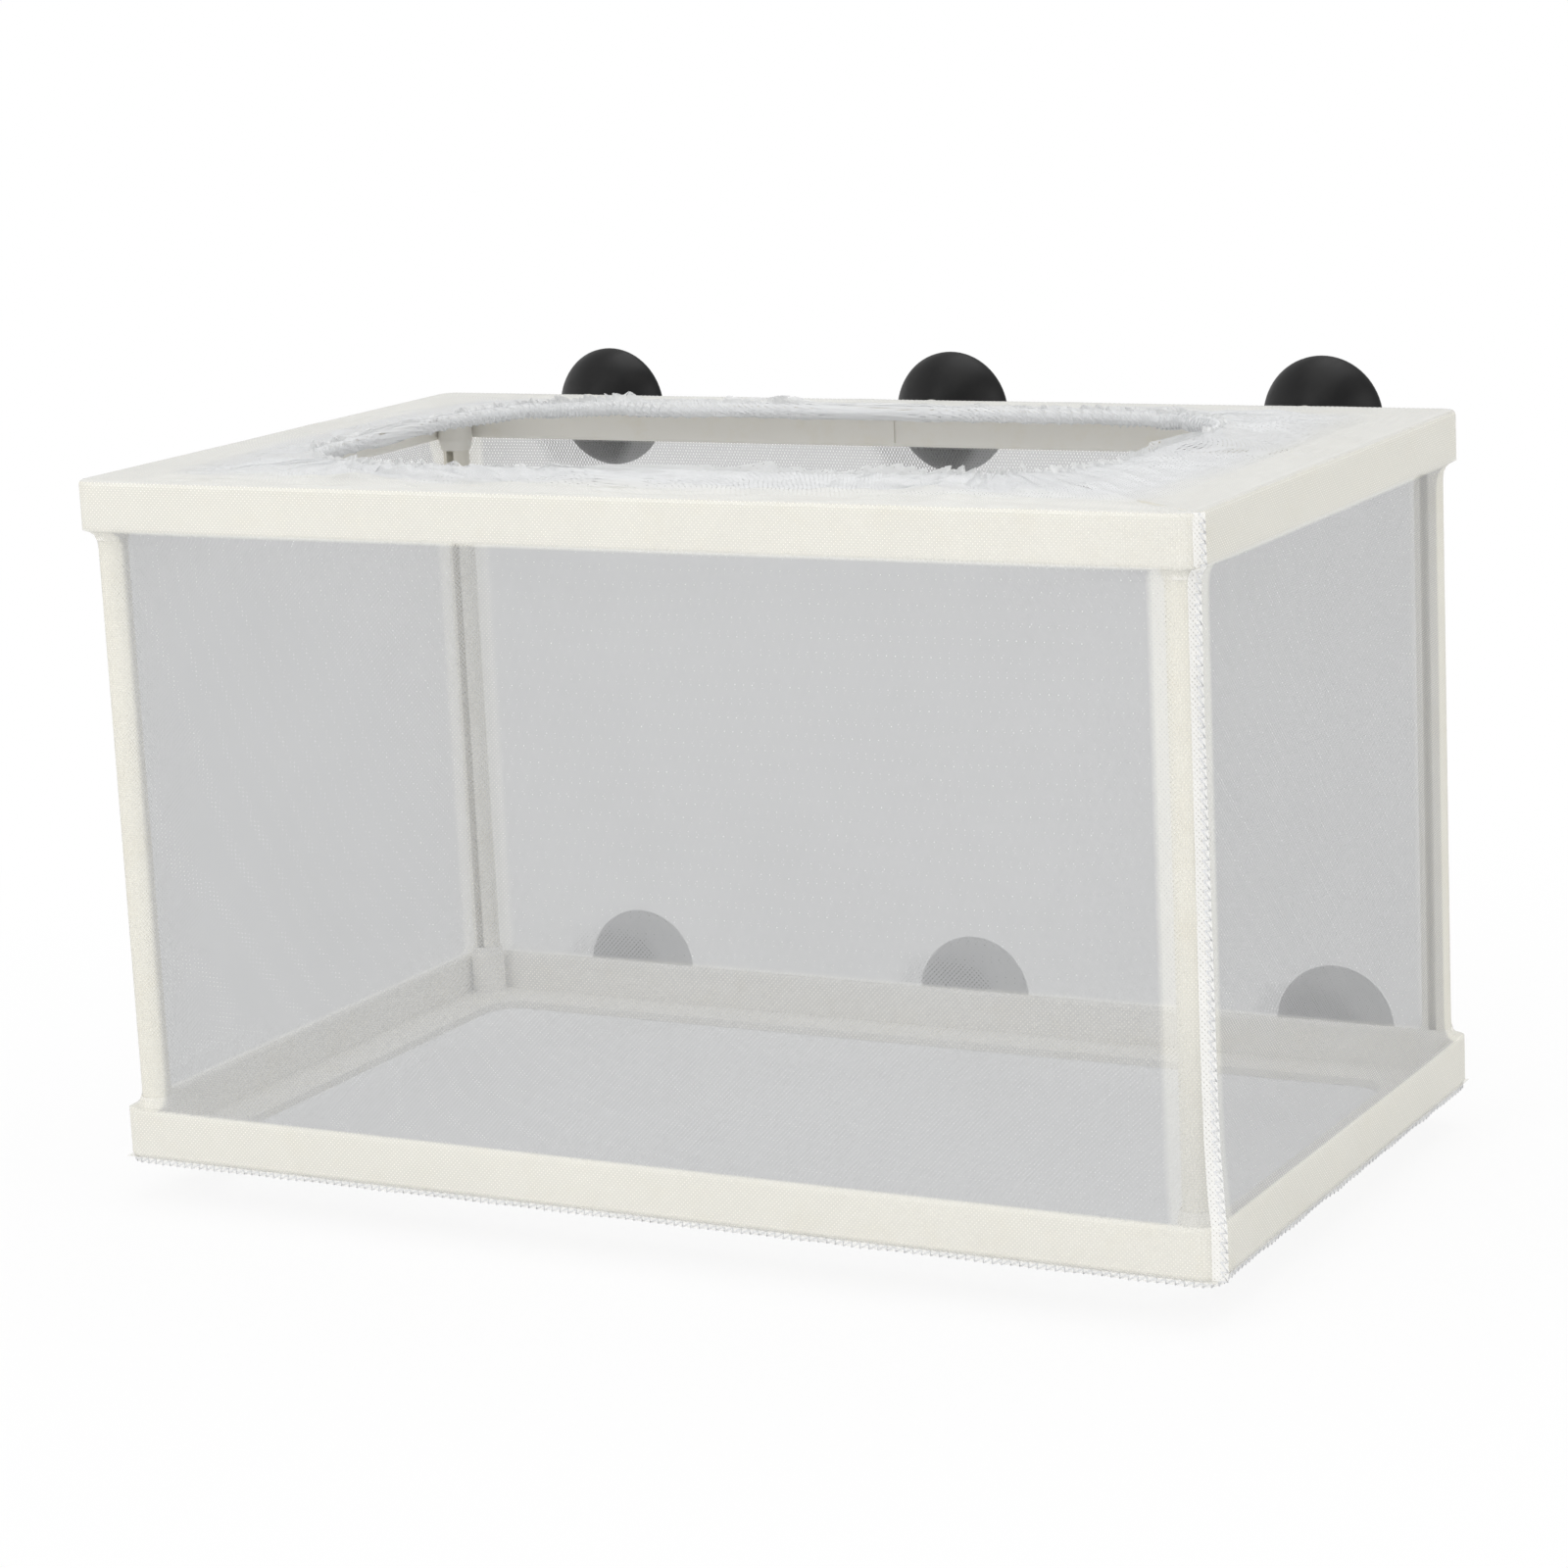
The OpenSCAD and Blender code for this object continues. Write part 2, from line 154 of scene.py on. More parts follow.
@dataclass(frozen=True)
class MouldedPlastic(Finish):
    """Injection-moulded polystyrene: warm white, low sheen, faint flow marks and a fine grain.

    The real grain is about 0.1 mm wide, and it is drawn coarser so that it shows."""

    colour: str
    stain: str
    ior: float = 1.59
    roughness: float = 0.46
    uneven_gloss: float = 0.08
    flow_mm: float = 22.0
    grain_mm: float = 0.5
    grain_depth_mm: float = 0.05
    stain_mm: float = 9.0

    def fill(self, add: AddNode) -> None:
        """Adds the material's nodes."""
        place = add("TexCoord").outputs["Object"]
        flow = add("TexNoise", Vector=place, Scale=per_mm(self.flow_mm), Detail=3.0, Roughness=0.6)
        spots = add("TexNoise", Vector=place, Scale=per_mm(self.stain_mm), Detail=5.0, Roughness=0.7)
        share = add("MapRange", Value=spots, From_Min=0.5, From_Max=0.8, To_Max=0.6)
        tint = add("Mix", Factor=share, A=linear(self.colour), B=linear(self.stain), data_type="RGBA")
        dull = self.roughness + self.uneven_gloss
        gloss = add("MapRange", Value=flow, To_Min=self.roughness - self.uneven_gloss, To_Max=dull)
        grain = add("TexNoise", Vector=place, Scale=per_mm(self.grain_mm), Detail=2.0)
        bump = add("Bump", Height=grain, Strength=0.12, Distance=self.grain_depth_mm * MM)
        look = add("BsdfPrincipled", Base_Color=tint, Roughness=gloss, Normal=bump, IOR=self.ior)
        add("OutputMaterial", Surface=look)


@dataclass(frozen=True)
class KnittedNet(Finish):
    """Warp-knitted polyester net with painted light and shade, as the piece's backing attribute says:
    half-clear strands with painted shade that makes them grey in the open, painted light that
    makes them nearly white where plastic is right behind them, and painted shade where the black
    cups are right behind them. Real fibres are about 0.02 mm thick, and drawn coarser."""

    open_colour: str
    backed_colour: str
    # Brightness that the painted shade in front of a cup leaves
    painted_cup_shade_share: float = 0.5
    alpha: float = 0.45
    ior: float = 1.57
    roughness: float = 0.5
    sheen: float = 0.15
    fibre_mm: float = 0.25
    fibre_depth_mm: float = 0.05
    patch_mm: float = 28.0

    def fill(self, add: AddNode) -> None:
        """Adds the material's nodes."""
        place = add("TexCoord").outputs["Object"]
        # Painted light and shade: the grey open colour is painted shade, the lighter backed colour is
        # painted light from the white plastic behind, and the darkening in front of the cups is
        # painted shade
        backing = add("Attribute", attribute_name=BACKING, attribute_type="GEOMETRY").outputs["Fac"]
        ends = {"A": linear(self.open_colour), "B": linear(self.backed_colour)}
        base = add("Mix", Factor=backing, data_type="RGBA", **ends)
        patches = add("TexNoise", Vector=place, Scale=per_mm(self.patch_mm), Detail=3.0)
        fibres = add("TexNoise", Vector=place, Scale=per_mm(self.fibre_mm), Detail=2.0)
        uneven = add("MapRange", Value=patches, To_Min=0.96, To_Max=1.04)
        painted_cup_shade = add("MapRange", Value=backing, From_Min=-1.0, From_Max=0.0, To_Min=self.painted_cup_shade_share)
        value = add("Math", uneven, painted_cup_shade, operation="MULTIPLY")
        shade = add("HueSaturation", Color=base, Value=value)
        bump = add("Bump", Height=fibres, Strength=0.3, Distance=self.fibre_depth_mm * MM)
        look = add("BsdfPrincipled", Base_Color=shade, Roughness=self.roughness, Normal=bump,
                   Sheen_Weight=self.sheen, IOR=self.ior, Alpha=self.alpha)
        add("OutputMaterial", Surface=look)


@dataclass(frozen=True)
class MouldedRubber(Finish):
    """Moulded black PVC rubber: a satin gloss with dust and finger marks in it.

    The real grain is about 0.1 mm wide, and it is drawn coarser so that it shows."""

    colour: str
    dust: str
    ior: float = 1.53
    roughness: float = 0.36
    specular: float = 0.25
    mark_mm: float = 7.0
    grain_mm: float = 0.35
    grain_depth_mm: float = 0.05

    def fill(self, add: AddNode) -> None:
        """Adds the material's nodes."""
        place = add("TexCoord").outputs["Object"]
        marks = add("TexNoise", Vector=place, Scale=per_mm(self.mark_mm), Detail=6.0, Roughness=0.65)
        share = add("MapRange", Value=marks, From_Min=0.45, From_Max=0.85, To_Max=0.5)
        tint = add("Mix", Factor=share, A=linear(self.colour), B=linear(self.dust), data_type="RGBA")
        ends = {"To_Min": self.roughness - 0.06, "To_Max": self.roughness + 0.12}
        gloss = add("MapRange", Value=marks, From_Min=0.3, From_Max=0.7, **ends)
        grain = add("TexNoise", Vector=place, Scale=per_mm(self.grain_mm))
        bump = add("Bump", Height=grain, Strength=0.15, Distance=self.grain_depth_mm * MM)
        look = add("BsdfPrincipled", Base_Color=tint, Roughness=gloss, Normal=bump, IOR=self.ior,
                   Specular_IOR_Level=self.specular)
        add("OutputMaterial", Surface=look)


@dataclass(frozen=True)
class SpunThread(Finish):
    """Spun polyester thread: white and slightly fuzzy, in the seams and round the elastic.

    Real plies are about 0.1 mm wide, and they are drawn coarser so that they show."""

    colour: str
    ply_mm: float = 0.3
    ply_depth_mm: float = 0.08
    roughness: float = 0.6
    sheen: float = 0.2

    def fill(self, add: AddNode) -> None:
        """Adds the material's nodes."""
        place = add("TexCoord").outputs["Object"]
        plies = add("TexNoise", Vector=place, Scale=per_mm(self.ply_mm), Detail=3.0)
        value = add("MapRange", Value=plies, To_Min=0.88, To_Max=1.08)
        shade = add("HueSaturation", Color=linear(self.colour), Value=value)
        bump = add("Bump", Height=plies, Strength=0.4, Distance=self.ply_depth_mm * MM)
        look = add("BsdfPrincipled", Base_Color=shade, Roughness=self.roughness, Normal=bump,
                   Sheen_Weight=self.sheen)
        add("OutputMaterial", Surface=look)


@dataclass(frozen=True)
class PaintedBoard(Finish):
    """Matt white board under and behind the object. Seen straight, it is nearly the white of the
    page, and near the object it keeps a share of the object's shadow."""

    colour: str
    shadow_share: float
    near: float = 0.12
    far: float = 0.42

    def fill(self, add: AddNode) -> None:
        """Adds the material's nodes."""
        rays = add("LightPath").outputs
        seen = add("Math", rays["Is Camera Ray"], rays["Is Glossy Ray"], operation="MAXIMUM")
        seen = add("Math", seen, rays["Is Transmission Ray"], operation="MAXIMUM")
        distance = add("VectorMath", add("TexCoord").outputs["Object"], operation="LENGTH")
        page_share = add("MapRange", Value=distance, From_Min=self.near, From_Max=self.far,
                         To_Min=1 - self.shadow_share, interpolation_type="SMOOTHSTEP")
        share = add("Math", seen, page_share, operation="MULTIPLY")
        board = add("BsdfDiffuse", Color=linear(self.colour))
        page = add("Emission", Color=linear(PAGE_WHITE), Strength=1.0)
        add("OutputMaterial", Surface=add("MixShader", share, board, page))


class Slot(Enum):
    """The record's material slots."""

    FRAME = "frame_plastic"
    POST = "post_plastic"
    NET = "net_fabric"
    SEAM = "seam_fabric"
    ELASTIC = "elastic_cord"
    CUP = "cup_rubber"


FRAME_FINISH = MouldedPlastic("polystyrene_moulded_warm_white", "#ebe9e3", "#e2dccb")
POST_FINISH = MouldedPlastic("polystyrene_extruded_warm_white", "#e9e6dc", "#d8cfba", flow_mm=40.0)
# The three net finishes are lit and shaded copies of one white net: the skirt's grey open colour is
# painted shade, and the lighter backed colours, the collar's colours and the seam's near-white colours
# are painted light
NET_FINISH = KnittedNet("polyester_net_warp_knitted_painted_light_and_shade", "#c3c4c5", "#f3f2eb")
COLLAR_FINISH = KnittedNet("polyester_net_gathered_painted_light", "#e2e3e4", "#e4e4e1", alpha=0.8, fibre_mm=0.4)
SEAM_FINISH = KnittedNet("polyester_net_folded_seam_painted_light", "#f4f4f3", "#faf9f6", alpha=0.8)
THREAD_FINISH = SpunThread("polyester_thread_spun_white", "#e9eaec")
RUBBER_FINISH = MouldedRubber("pvc_rubber_moulded_black", "#0c0c0d", "#1f1e1d")
BOARD_FINISH = PaintedBoard("matt_board_painted_white", "#f4f4f4", 0.12)


# ---- Making pieces --------------------------------------------------------------------------


def everything(bm: bmesh.types.BMesh) -> list:
    """All vertices, edges and faces of a bmesh, as its operators take them."""
    return [*bm.verts, *bm.edges, *bm.faces]


def make_piece(
    bm: bmesh.types.BMesh,
    name: str,
    material: bpy.types.Material,
    slot: Slot,
    body: str = BOX_BODY,
    replaced: tuple[str, ...] = (),
    smooth: bool = True,
) -> bpy.types.Object:
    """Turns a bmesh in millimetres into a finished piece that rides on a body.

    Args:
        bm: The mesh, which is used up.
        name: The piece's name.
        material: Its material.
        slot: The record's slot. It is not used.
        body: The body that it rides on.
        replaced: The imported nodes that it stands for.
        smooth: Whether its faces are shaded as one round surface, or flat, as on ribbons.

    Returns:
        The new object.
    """
    bmesh.ops.scale(bm, vec=(MM, MM, MM), verts=bm.verts)
    for face in bm.faces:
        face.smooth = smooth
    mesh = bpy.data.meshes.new(name)
    bm.to_mesh(mesh)
    bm.free()
    mesh.materials.append(material)
    piece = bpy.data.objects.new(name, mesh)
    bpy.context.scene.collection.objects.link(piece)
    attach(piece, body)
    if replaced:
        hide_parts(*replaced)
    LOG.info("%s: %d faces on %s", name, len(mesh.polygons), body)
    return piece


def make_net(
    bm: bmesh.types.BMesh,
    name: str,
    material: bpy.types.Material,
    slot: Slot = Slot.NET,
    replaced: tuple[str, ...] = (),
) -> bpy.types.Object:
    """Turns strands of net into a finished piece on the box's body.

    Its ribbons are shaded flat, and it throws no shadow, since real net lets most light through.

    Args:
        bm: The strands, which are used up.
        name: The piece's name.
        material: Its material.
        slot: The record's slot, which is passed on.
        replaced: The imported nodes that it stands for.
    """
    piece = make_piece(bm, name, material, slot, replaced=replaced, smooth=False)
    piece.visible_shadow = False
    return piece


def cut(
    bm: bmesh.types.BMesh, place: tuple, normal: tuple, parts: list | None = None, **kept: bool
) -> None:
    """Cuts a mesh, or some parts of it, along a plane; kept says what goes on which side."""
    bmesh.ops.bisect_plane(
        bm,
        geom=everything(bm) if parts is None else parts,
        dist=WELD,
        plane_co=place,
        plane_no=normal,
        **kept,
    )


def start_tube(bm: bmesh.types.BMesh, sides: int, radius: float) -> tuple[list, list]:
    """Makes the first ring of a tube, flat round the origin, and returns its vertices and edges."""
    ring = bmesh.ops.create_circle(bm, segments=sides, radius=radius)["verts"]
    return ring, list({edge for vert in ring for edge in vert.link_edges})


def next_ring(bm: bmesh.types.BMesh, edges: list) -> tuple[list, list]:
    """Adds a ring to the one with these edges, and returns the new vertices and edges."""
    made = bmesh.ops.extrude_edge_only(bm, edges=edges)["geom"]
    ring = [part for part in made if isinstance(part, bmesh.types.BMVert)]
    return ring, [part for part in made if isinstance(part, bmesh.types.BMEdge)]


def smoothstep(low: float, high: float, value: float) -> float:
    """0 below low, 1 above high, and a smooth rise between them."""
    share = min(max((value - low) / (high - low), 0.0), 1.0)
    return share * share * (3 - 2 * share)


def rough(x: float, y: float, seed: float) -> float:
    """Smooth noise from about -1 to 1 at a point of a plane; seed picks one of many patterns."""
    return noise.noise(Vector((x, y, 10.7 * seed + 0.31)))


def rough_round(turn: float, waves: float, seed: float) -> float:
    """Smooth noise like rough, which comes back to where it began after a full turn."""
    return rough(waves * math.cos(turn), waves * math.sin(turn), seed)


@dataclass(frozen=True)
class Ripple:
    """Soft random waves: their size, their lengths along and across the cloth, and a seed."""

    size: float
    along: float
    across: float
    seed: float

    def at(self, s: float, w: float) -> float:
        """Height of the waves at a place on the cloth."""
        return self.size * rough(s / self.along, w / self.across, self.seed)


# ---- The box and its bag --------------------------------------------------------------------


class Side(Enum):
    """The bag's four upright sides, with the turn that brings the front to each of them."""

    FRONT = 0.0
    RIGHT = math.pi / 2
    REAR = math.pi
    LEFT = -math.pi / 2

    @property
    def is_long(self) -> bool:
        """Whether the side runs along the box's length."""
        return self in (Side.FRONT, Side.REAR)


@dataclass(frozen=True)
class BoxSizes:
    """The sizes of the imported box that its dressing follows, in millimetres.

    The overall sizes are read from the frame, and the others repeat those of the part's source."""

    frame_l: float
    frame_d: float
    frame_h: float
    mid_y: float
    corner_r: float = 4.0
    wall_h: float = 11.0
    edge_r: float = 0.9
    flange_w: float = 14.0
    post_r: float = 3.2
    post_inset: float = 5.7
    boss_r: float = 4.5
    cup_d: float = 29.0
    cup_end_gap: float = 38.5
    cup_row: float = 5.0

    @classmethod
    def from_frame(cls) -> "BoxSizes":
        """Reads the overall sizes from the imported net, which lies on the frames all round."""
        low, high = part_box("net_floor")
        side_low, side_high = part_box("net_left")
        net_t = high.z - low.z
        return cls(
            frame_l=(high.x - low.x - 2 * net_t) / MM,
            frame_d=(high.y - low.y - 2 * net_t) / MM,
            frame_h=(side_high.z - side_low.z) / MM,
            mid_y=(low.y + high.y) / 2 / MM,
        )

    @property
    def top_z(self) -> float:
        """Height of the top frame's upper face."""
        return self.frame_h / 2

    @property
    def bar_edge(self) -> float:
        """Height of the free edge of the top frame's wall."""
        return self.frame_h / 2 - self.wall_h

    @property
    def row_z(self) -> float:
        """Height of the upper row of cups."""
        return self.frame_h / 2 - self.cup_row

    @property
    def cup_pitch(self) -> float:
        """Distance between the axes of neighbouring cups."""
        return self.frame_l / 2 - self.cup_end_gap

    def cup_places(self) -> list[tuple[float, float]]:
        """Places of the cups' axes along the box and in height."""
        return [
            (column * self.cup_pitch, row * self.row_z) for column in (-1, 0, 1) for row in (-1, 1)
        ]


@dataclass(frozen=True)
class BagShape:
    """The form that the net bag takes over the frames and posts, in millimetres."""

    box: BoxSizes
    skin: float = 0.08
    # How far along the net a post draws it in, and how near to a corner it does so in full height
    reach: float = 42.0
    near: float = 12.0
    # Powers of the curve from a frame to mid-height: in the open, added at a corner, and slack
    bow_power: float = 2.0
    corner_power: float = 70.0
    slack_power: float = 5.0
    slack_reach: float = 60.0
    # Widths over which a strand's painted shade in front of a cup, or its painted light over a post,
    # fades
    cup_blur: float = 2.0
    post_fade_out: float = 1.2
    post_fade_in: float = 0.6

    @property
    def edge_arc(self) -> float:
        """Cloth on half of the round over a frame's outer edge."""
        return self.box.edge_r * math.pi / 4

    @property
    def skirt_h(self) -> float:
        """Flat height of the skirt, from the middle of one rounded edge to the other."""
        return self.box.frame_h - 2 * self.box.edge_r + 2 * self.edge_arc

    def side_l(self, side: Side) -> float:
        """Outside length of the box along a side."""
        return self.box.frame_l if side.is_long else self.box.frame_d

    def side_w(self, side: Side) -> float:
        """Flat width of a side's net, up to the middles of the round corners."""
        return self.side_l(side) - 2 * self.box.corner_r + self.box.corner_r * math.pi / 2

    @property
    def perimeter(self) -> float:
        """Flat width of the whole skirt."""
        return 2 * self.side_w(Side.FRONT) + 2 * self.side_w(Side.RIGHT)

    def pull(self, z: float, corner_gap: float, slack: float) -> float:
        """How far the net is drawn in against the posts, from 0 on the frames to 1 on a post.

        Args:
            z: Height.
            corner_gap: Distance along the net from the nearest round corner.
            slack: 1 at a corner whose net stands off its post low down, 0 at the others.
        """
        height = min(abs(z) / self.box.bar_edge, 1.0)
        power = self.bow_power + self.corner_power * math.exp(-corner_gap / self.near)
        if z < 0:
            power = power + slack * (self.slack_power - power)
        return (1 - height**power) * math.exp(-corner_gap / self.reach)

    def skirt(self, side: Side, u: float, v: float, off: float) -> Vector:
        """Point of the skirt.

        Args:
            side: The side that the point is on.
            u: Place along the side's flat net, from its middle to the right seen from outside.
            v: Place up the flat net, from its middle.
            off: Distance off the surface.

        Returns:
            The point in the row frame.
        """
        box = self.box
        straight = box.frame_h / 2 - box.edge_r
        over = max(abs(v) - straight, 0.0) / box.edge_r
        z = math.copysign(min(abs(v), straight) + box.edge_r * math.sin(over), v)
        lift = self.skin + off
        drop = (box.edge_r + lift) * (1 - math.cos(over))
        z += math.copysign(lift * math.sin(over), v)

        half = self.side_l(side) / 2
        depth = self.side_l(Side.RIGHT if side.is_long else Side.FRONT) / 2
        flat_half = half - box.corner_r
        gap = flat_half - abs(u)
        slack = self.corner_slack(side, u) * smoothstep(self.slack_reach, 0.0, max(gap, 0.0))
        tight = self.pull(z, 0.0, slack)
        centre_in = box.corner_r + (box.post_inset - box.corner_r) * tight
        radius = box.corner_r + (box.post_r - box.corner_r) * tight + lift
        if gap >= 0:
            x = u * (half - centre_in) / flat_half
            most = box.post_inset - box.post_r
            y = depth + lift - drop - most * self.pull(z, gap, slack)
        else:
            angle = -gap / box.corner_r
            x = math.copysign(half - centre_in + (radius - drop) * math.sin(angle), u)
            y = depth - centre_in + (radius - drop) * math.cos(angle)
        turned = Matrix.Rotation(side.value, 3, "Z") @ Vector((x, -y, z))
        return turned + Vector((0, box.mid_y, 0))

    def corner_slack(self, side: Side, u: float) -> float:
        """1 next to the seamed front right corner and 0 next to the other corners."""
        return float((side is Side.FRONT and u > 0) or (side is Side.RIGHT and u < 0))

    def backing(self, side: Side, u: float, v: float) -> float:
        """How much painted light from the plastic, or painted shade from a cup, right behind it a
        strand gets.

        Args:
            side: The side that the strand is on.
            u: Place along the flat net.
            v: Place up the flat net.

        Returns:
            1 (full painted light) on the frames and posts, 0 in the open, and down to -1 (painted
            shade) in front of the black cups.
        """
        if abs(v) > self.box.bar_edge:
            return 1.0
        if side is Side.REAR:
            from_cup = min(math.dist((u, v), place) for place in self.box.cup_places())
            cup_r = self.box.cup_d / 2
            shadow = smoothstep(cup_r + self.cup_blur, cup_r - self.cup_blur, from_cup)
            if shadow > 0:
                return -shadow
        # Painted light over a post, halved where the net stands off the post low down
        from_post = self.side_l(side) / 2 - self.box.post_inset - abs(u)
        post_r = self.box.post_r
        on_post = smoothstep(post_r + self.post_fade_out, post_r - self.post_fade_in, from_post)
        stands_off = self.corner_slack(side, u) * smoothstep(0, -self.slack_reach, v)
        return on_post * (1 - 0.5 * stands_off)


@dataclass(frozen=True)
class MouthShape:
    """The gathered mouth: where the hem runs, and how the net folds on its way there."""

    box: BoxSizes
    bag: BagShape
    collar_front: float = 13.0
    collar_rear: float = 38.0
    collar_left: float = 43.0
    collar_right: float = 32.0
    skew: float = 6.0
    squareness: float = 0.42
    hem_r: float = 1.65
    collar_w: float = 36.0
    pleats: int = 92
    # Angle round the hem, from straight out, at which the collar runs into the casing
    hem_meets: float = math.radians(60)
    hem_rise: float = 0.45
    # Random waves of the collar, of the hem's casing and of the frill
    tufts: Ripple = Ripple(0.9, 4.2, 11.0, 11.0)
    creases: Ripple = Ripple(1.0, 26.0, 7.0, 5.0)
    fine_creases: Ripple = Ripple(0.5, 9.0, 3.5, 6.0)
    leans: Ripple = Ripple(0.6, 7.0, 5.0, 8.0)
    sways: Ripple = Ripple(1.0, 14.0, 6.0, 9.0)
    casing_swells: Ripple = Ripple(0.15, 6.0, 1.0, 3.0)
    frill_swings: Ripple = Ripple(0.9, 3.4, 1.0, 5.0)
    frill_tufts: Ripple = Ripple(1.1, 17.0, 1.0, 6.0)
    frill_fine_tufts: Ripple = Ripple(0.8, 5.0, 1.0, 7.0)
    frill_sways: Ripple = Ripple(0.5, 3.0, 1.0, 8.0)

    @property
    def mouth_l(self) -> float:
        """Length of the mouth between the hem's centre lines."""
        return self.box.frame_l - self.collar_left - self.collar_right

    @property
    def mouth_w(self) -> float:
        """Width of the mouth between the hem's centre lines."""
        return self.box.frame_d - self.collar_front - self.collar_rear

    def rim(self, s: float) -> tuple[Vector, Vector]:
        """Point of the box's outer edge in plan.

        Args:
            s: Distance along the edge from the middle of the front right corner, anticlockwise.

        Returns:
            The point, relative to the box's middle, and the outward direction there.
        """
        s %= self.bag.perimeter
        for side in (Side.RIGHT, Side.REAR, Side.LEFT, Side.FRONT):
            width = self.bag.side_w(side)
            if s <= width:
                break
            s -= width
        u = s - width / 2
        half = self.bag.side_l(side) / 2
        depth = self.bag.side_l(Side.RIGHT if side.is_long else Side.FRONT) / 2
        radius = self.box.corner_r
        gap = half - radius - abs(u)
        angle = math.copysign(max(-gap, 0.0) / radius, u)
        out = Vector((math.sin(angle), -math.cos(angle), 0))
        centre = Vector((u if gap >= 0 else math.copysign(half - radius, u), radius - depth, 0))
        turn = Matrix.Rotation(side.value, 3, "Z")
        return turn @ (centre + radius * out), turn @ out

    def hem_plan(self, edge: Vector) -> Vector:
        """Point of the hem's centre line in plan, across from a point of the outer edge."""
        outer_l = self.box.frame_l
        outer_d = self.box.frame_d
        angle = math.atan2(edge.y / outer_d, edge.x / outer_l)
        along = math.copysign(abs(math.cos(angle)) ** self.squareness, math.cos(angle))
        across = math.copysign(abs(math.sin(angle)) ** self.squareness, math.sin(angle))
        x = along * self.mouth_l / 2
        y = across * self.mouth_w / 2
        skew = -2 * min(y, 0) / self.mouth_w * self.skew * x / self.mouth_l
        x += (self.collar_left - self.collar_right) / 2
        y -= (self.collar_rear - self.collar_front) / 2
        return Vector((x, y + skew, 0))

    def pleat(self, s: float, count: float, seed: float) -> float:
        """Uneven pleats, from about -1 to 1, that close up round the mouth."""
        share = s / self.bag.perimeter
        turn = FULL_TURN * share
        drift = 1.4 * rough_round(turn, 6, seed)
        size = 0.65 + 0.5 * rough_round(turn, 9, seed + 1)
        return size * math.sin(FULL_TURN * count * share + 2.5 * drift)

    def hem(self, s: float) -> tuple[Vector, Vector]:
        """Centre of the hem at a distance along the edge, and the direction out of the mouth."""
        edge, _ = self.rim(s)
        plan = self.hem_plan(edge)
        out = (edge - plan).normalized()
        centre = plan + Vector((0, self.box.mid_y, 0))
        turn = FULL_TURN * s / self.bag.perimeter
        rise = self.hem_rise + self.hem_rise * rough_round(turn, 5, 14.0)
        centre.z = self.box.top_z + self.hem_r + max(rise, 0.0)
        return centre, out

    def collar(self, s: float, w: float, off: float) -> Vector:
        """Point of the net between the box's edge and the hem.

        Args:
            s: Distance along the outer edge.
            w: Distance across the flat net, from the middle of the rounded edge.
            off: Distance off the surface.

        Returns:
            The point in the row frame.
        """
        box = self.box
        edge, out = self.rim(s)
        lift = self.bag.skin + off
        arc = self.bag.edge_arc
        origin = Vector((edge.x, edge.y + box.mid_y, 0))
        if w < arc:
            angle = math.pi / 4 + w / box.edge_r
            inward = box.edge_r - (box.edge_r + lift) * math.cos(angle)
            height = -box.edge_r + (box.edge_r + lift) * math.sin(angle)
            return origin - inward * out + Vector((0, 0, box.top_z + height))
        centre, hem_out = self.hem(s)
        goal = centre + self.hem_r * (math.cos(self.hem_meets) * hem_out)
        goal.z += self.hem_r * math.sin(self.hem_meets)
        start = origin - box.edge_r * out
        start.z = box.top_z
        share = (w - arc) / (self.collar_w - arc)
        path = goal - start
        across = Vector((path.x, path.y, 0))
        distance = across.length
        rise = share**1.7 * path.z
        free = smoothstep(0.25, 1.0, share)
        slack = min(max(self.collar_w / distance - 1, 0.0), 1.0)
        gather = 0.45 * self.pleat(s, self.pleats, 1.0) + self.tufts.at(s, w)
        crease = self.creases.at(s, w) + self.fine_creases.at(s, w)
        fade = math.sin(math.pi * min(share, 0.999)) ** 0.5
        height = rise + free * (1 - share**6) * (1.2 + 0.5 * slack) * gather
        height += fade * (0.9 + 1.5 * slack) * max(crease + 0.25, 0.0)
        height = max(height, 0.0) + lift
        along = Vector((-hem_out.y, hem_out.x, 0))
        lean = free * (0.8 * self.pleat(s + 2.1, self.pleats, 1.0) + self.leans.at(s, w))
        sway = fade * (0.8 + 1.5 * slack) * self.sways.at(s, w)
        plan = start + share * across + along * lean - across.normalized() * sway
        return plan + Vector((0, 0, height))

    def cloth(self, s: float, w: float, off: float) -> Vector:
        """Point of the whole strip: the collar, and then the hem's casing, which it runs into.

        Args:
            s: Distance along the outer edge.
            w: Distance across the flat strip.
            off: Distance off the surface.
        """
        if w <= self.collar_w:
            return self.collar(s, w, off)
        past = w - self.collar_w
        gap = self.collar(s, self.collar_w, off) - self.hem_wrap(s, 0.0, off)
        return self.hem_wrap(s, past, off) + smoothstep(2.5, 0.0, past) * gap

    def hem_wrap(self, s: float, w: float, off: float) -> Vector:
        """Point of the hem's casing.

        Args:
            s: Distance along the outer edge.
            w: Distance round the casing, from where the collar meets it.
            off: Distance off the surface.
        """
        centre, out = self.hem(s)
        angle = self.hem_meets + w / self.hem_r
        swell = 1 + 0.2 * self.pleat(s, 2 * self.pleats, 2.0) + self.casing_swells.at(s, w)
        radius = self.hem_r * swell + off
        along = Vector((-out.y, out.x, 0))
        lean = 0.7 * self.pleat(s + 1.2, 2 * self.pleats, 2.0)
        point = centre + radius * math.cos(angle) * out + lean * along
        point.z += radius * math.sin(angle)
        return point

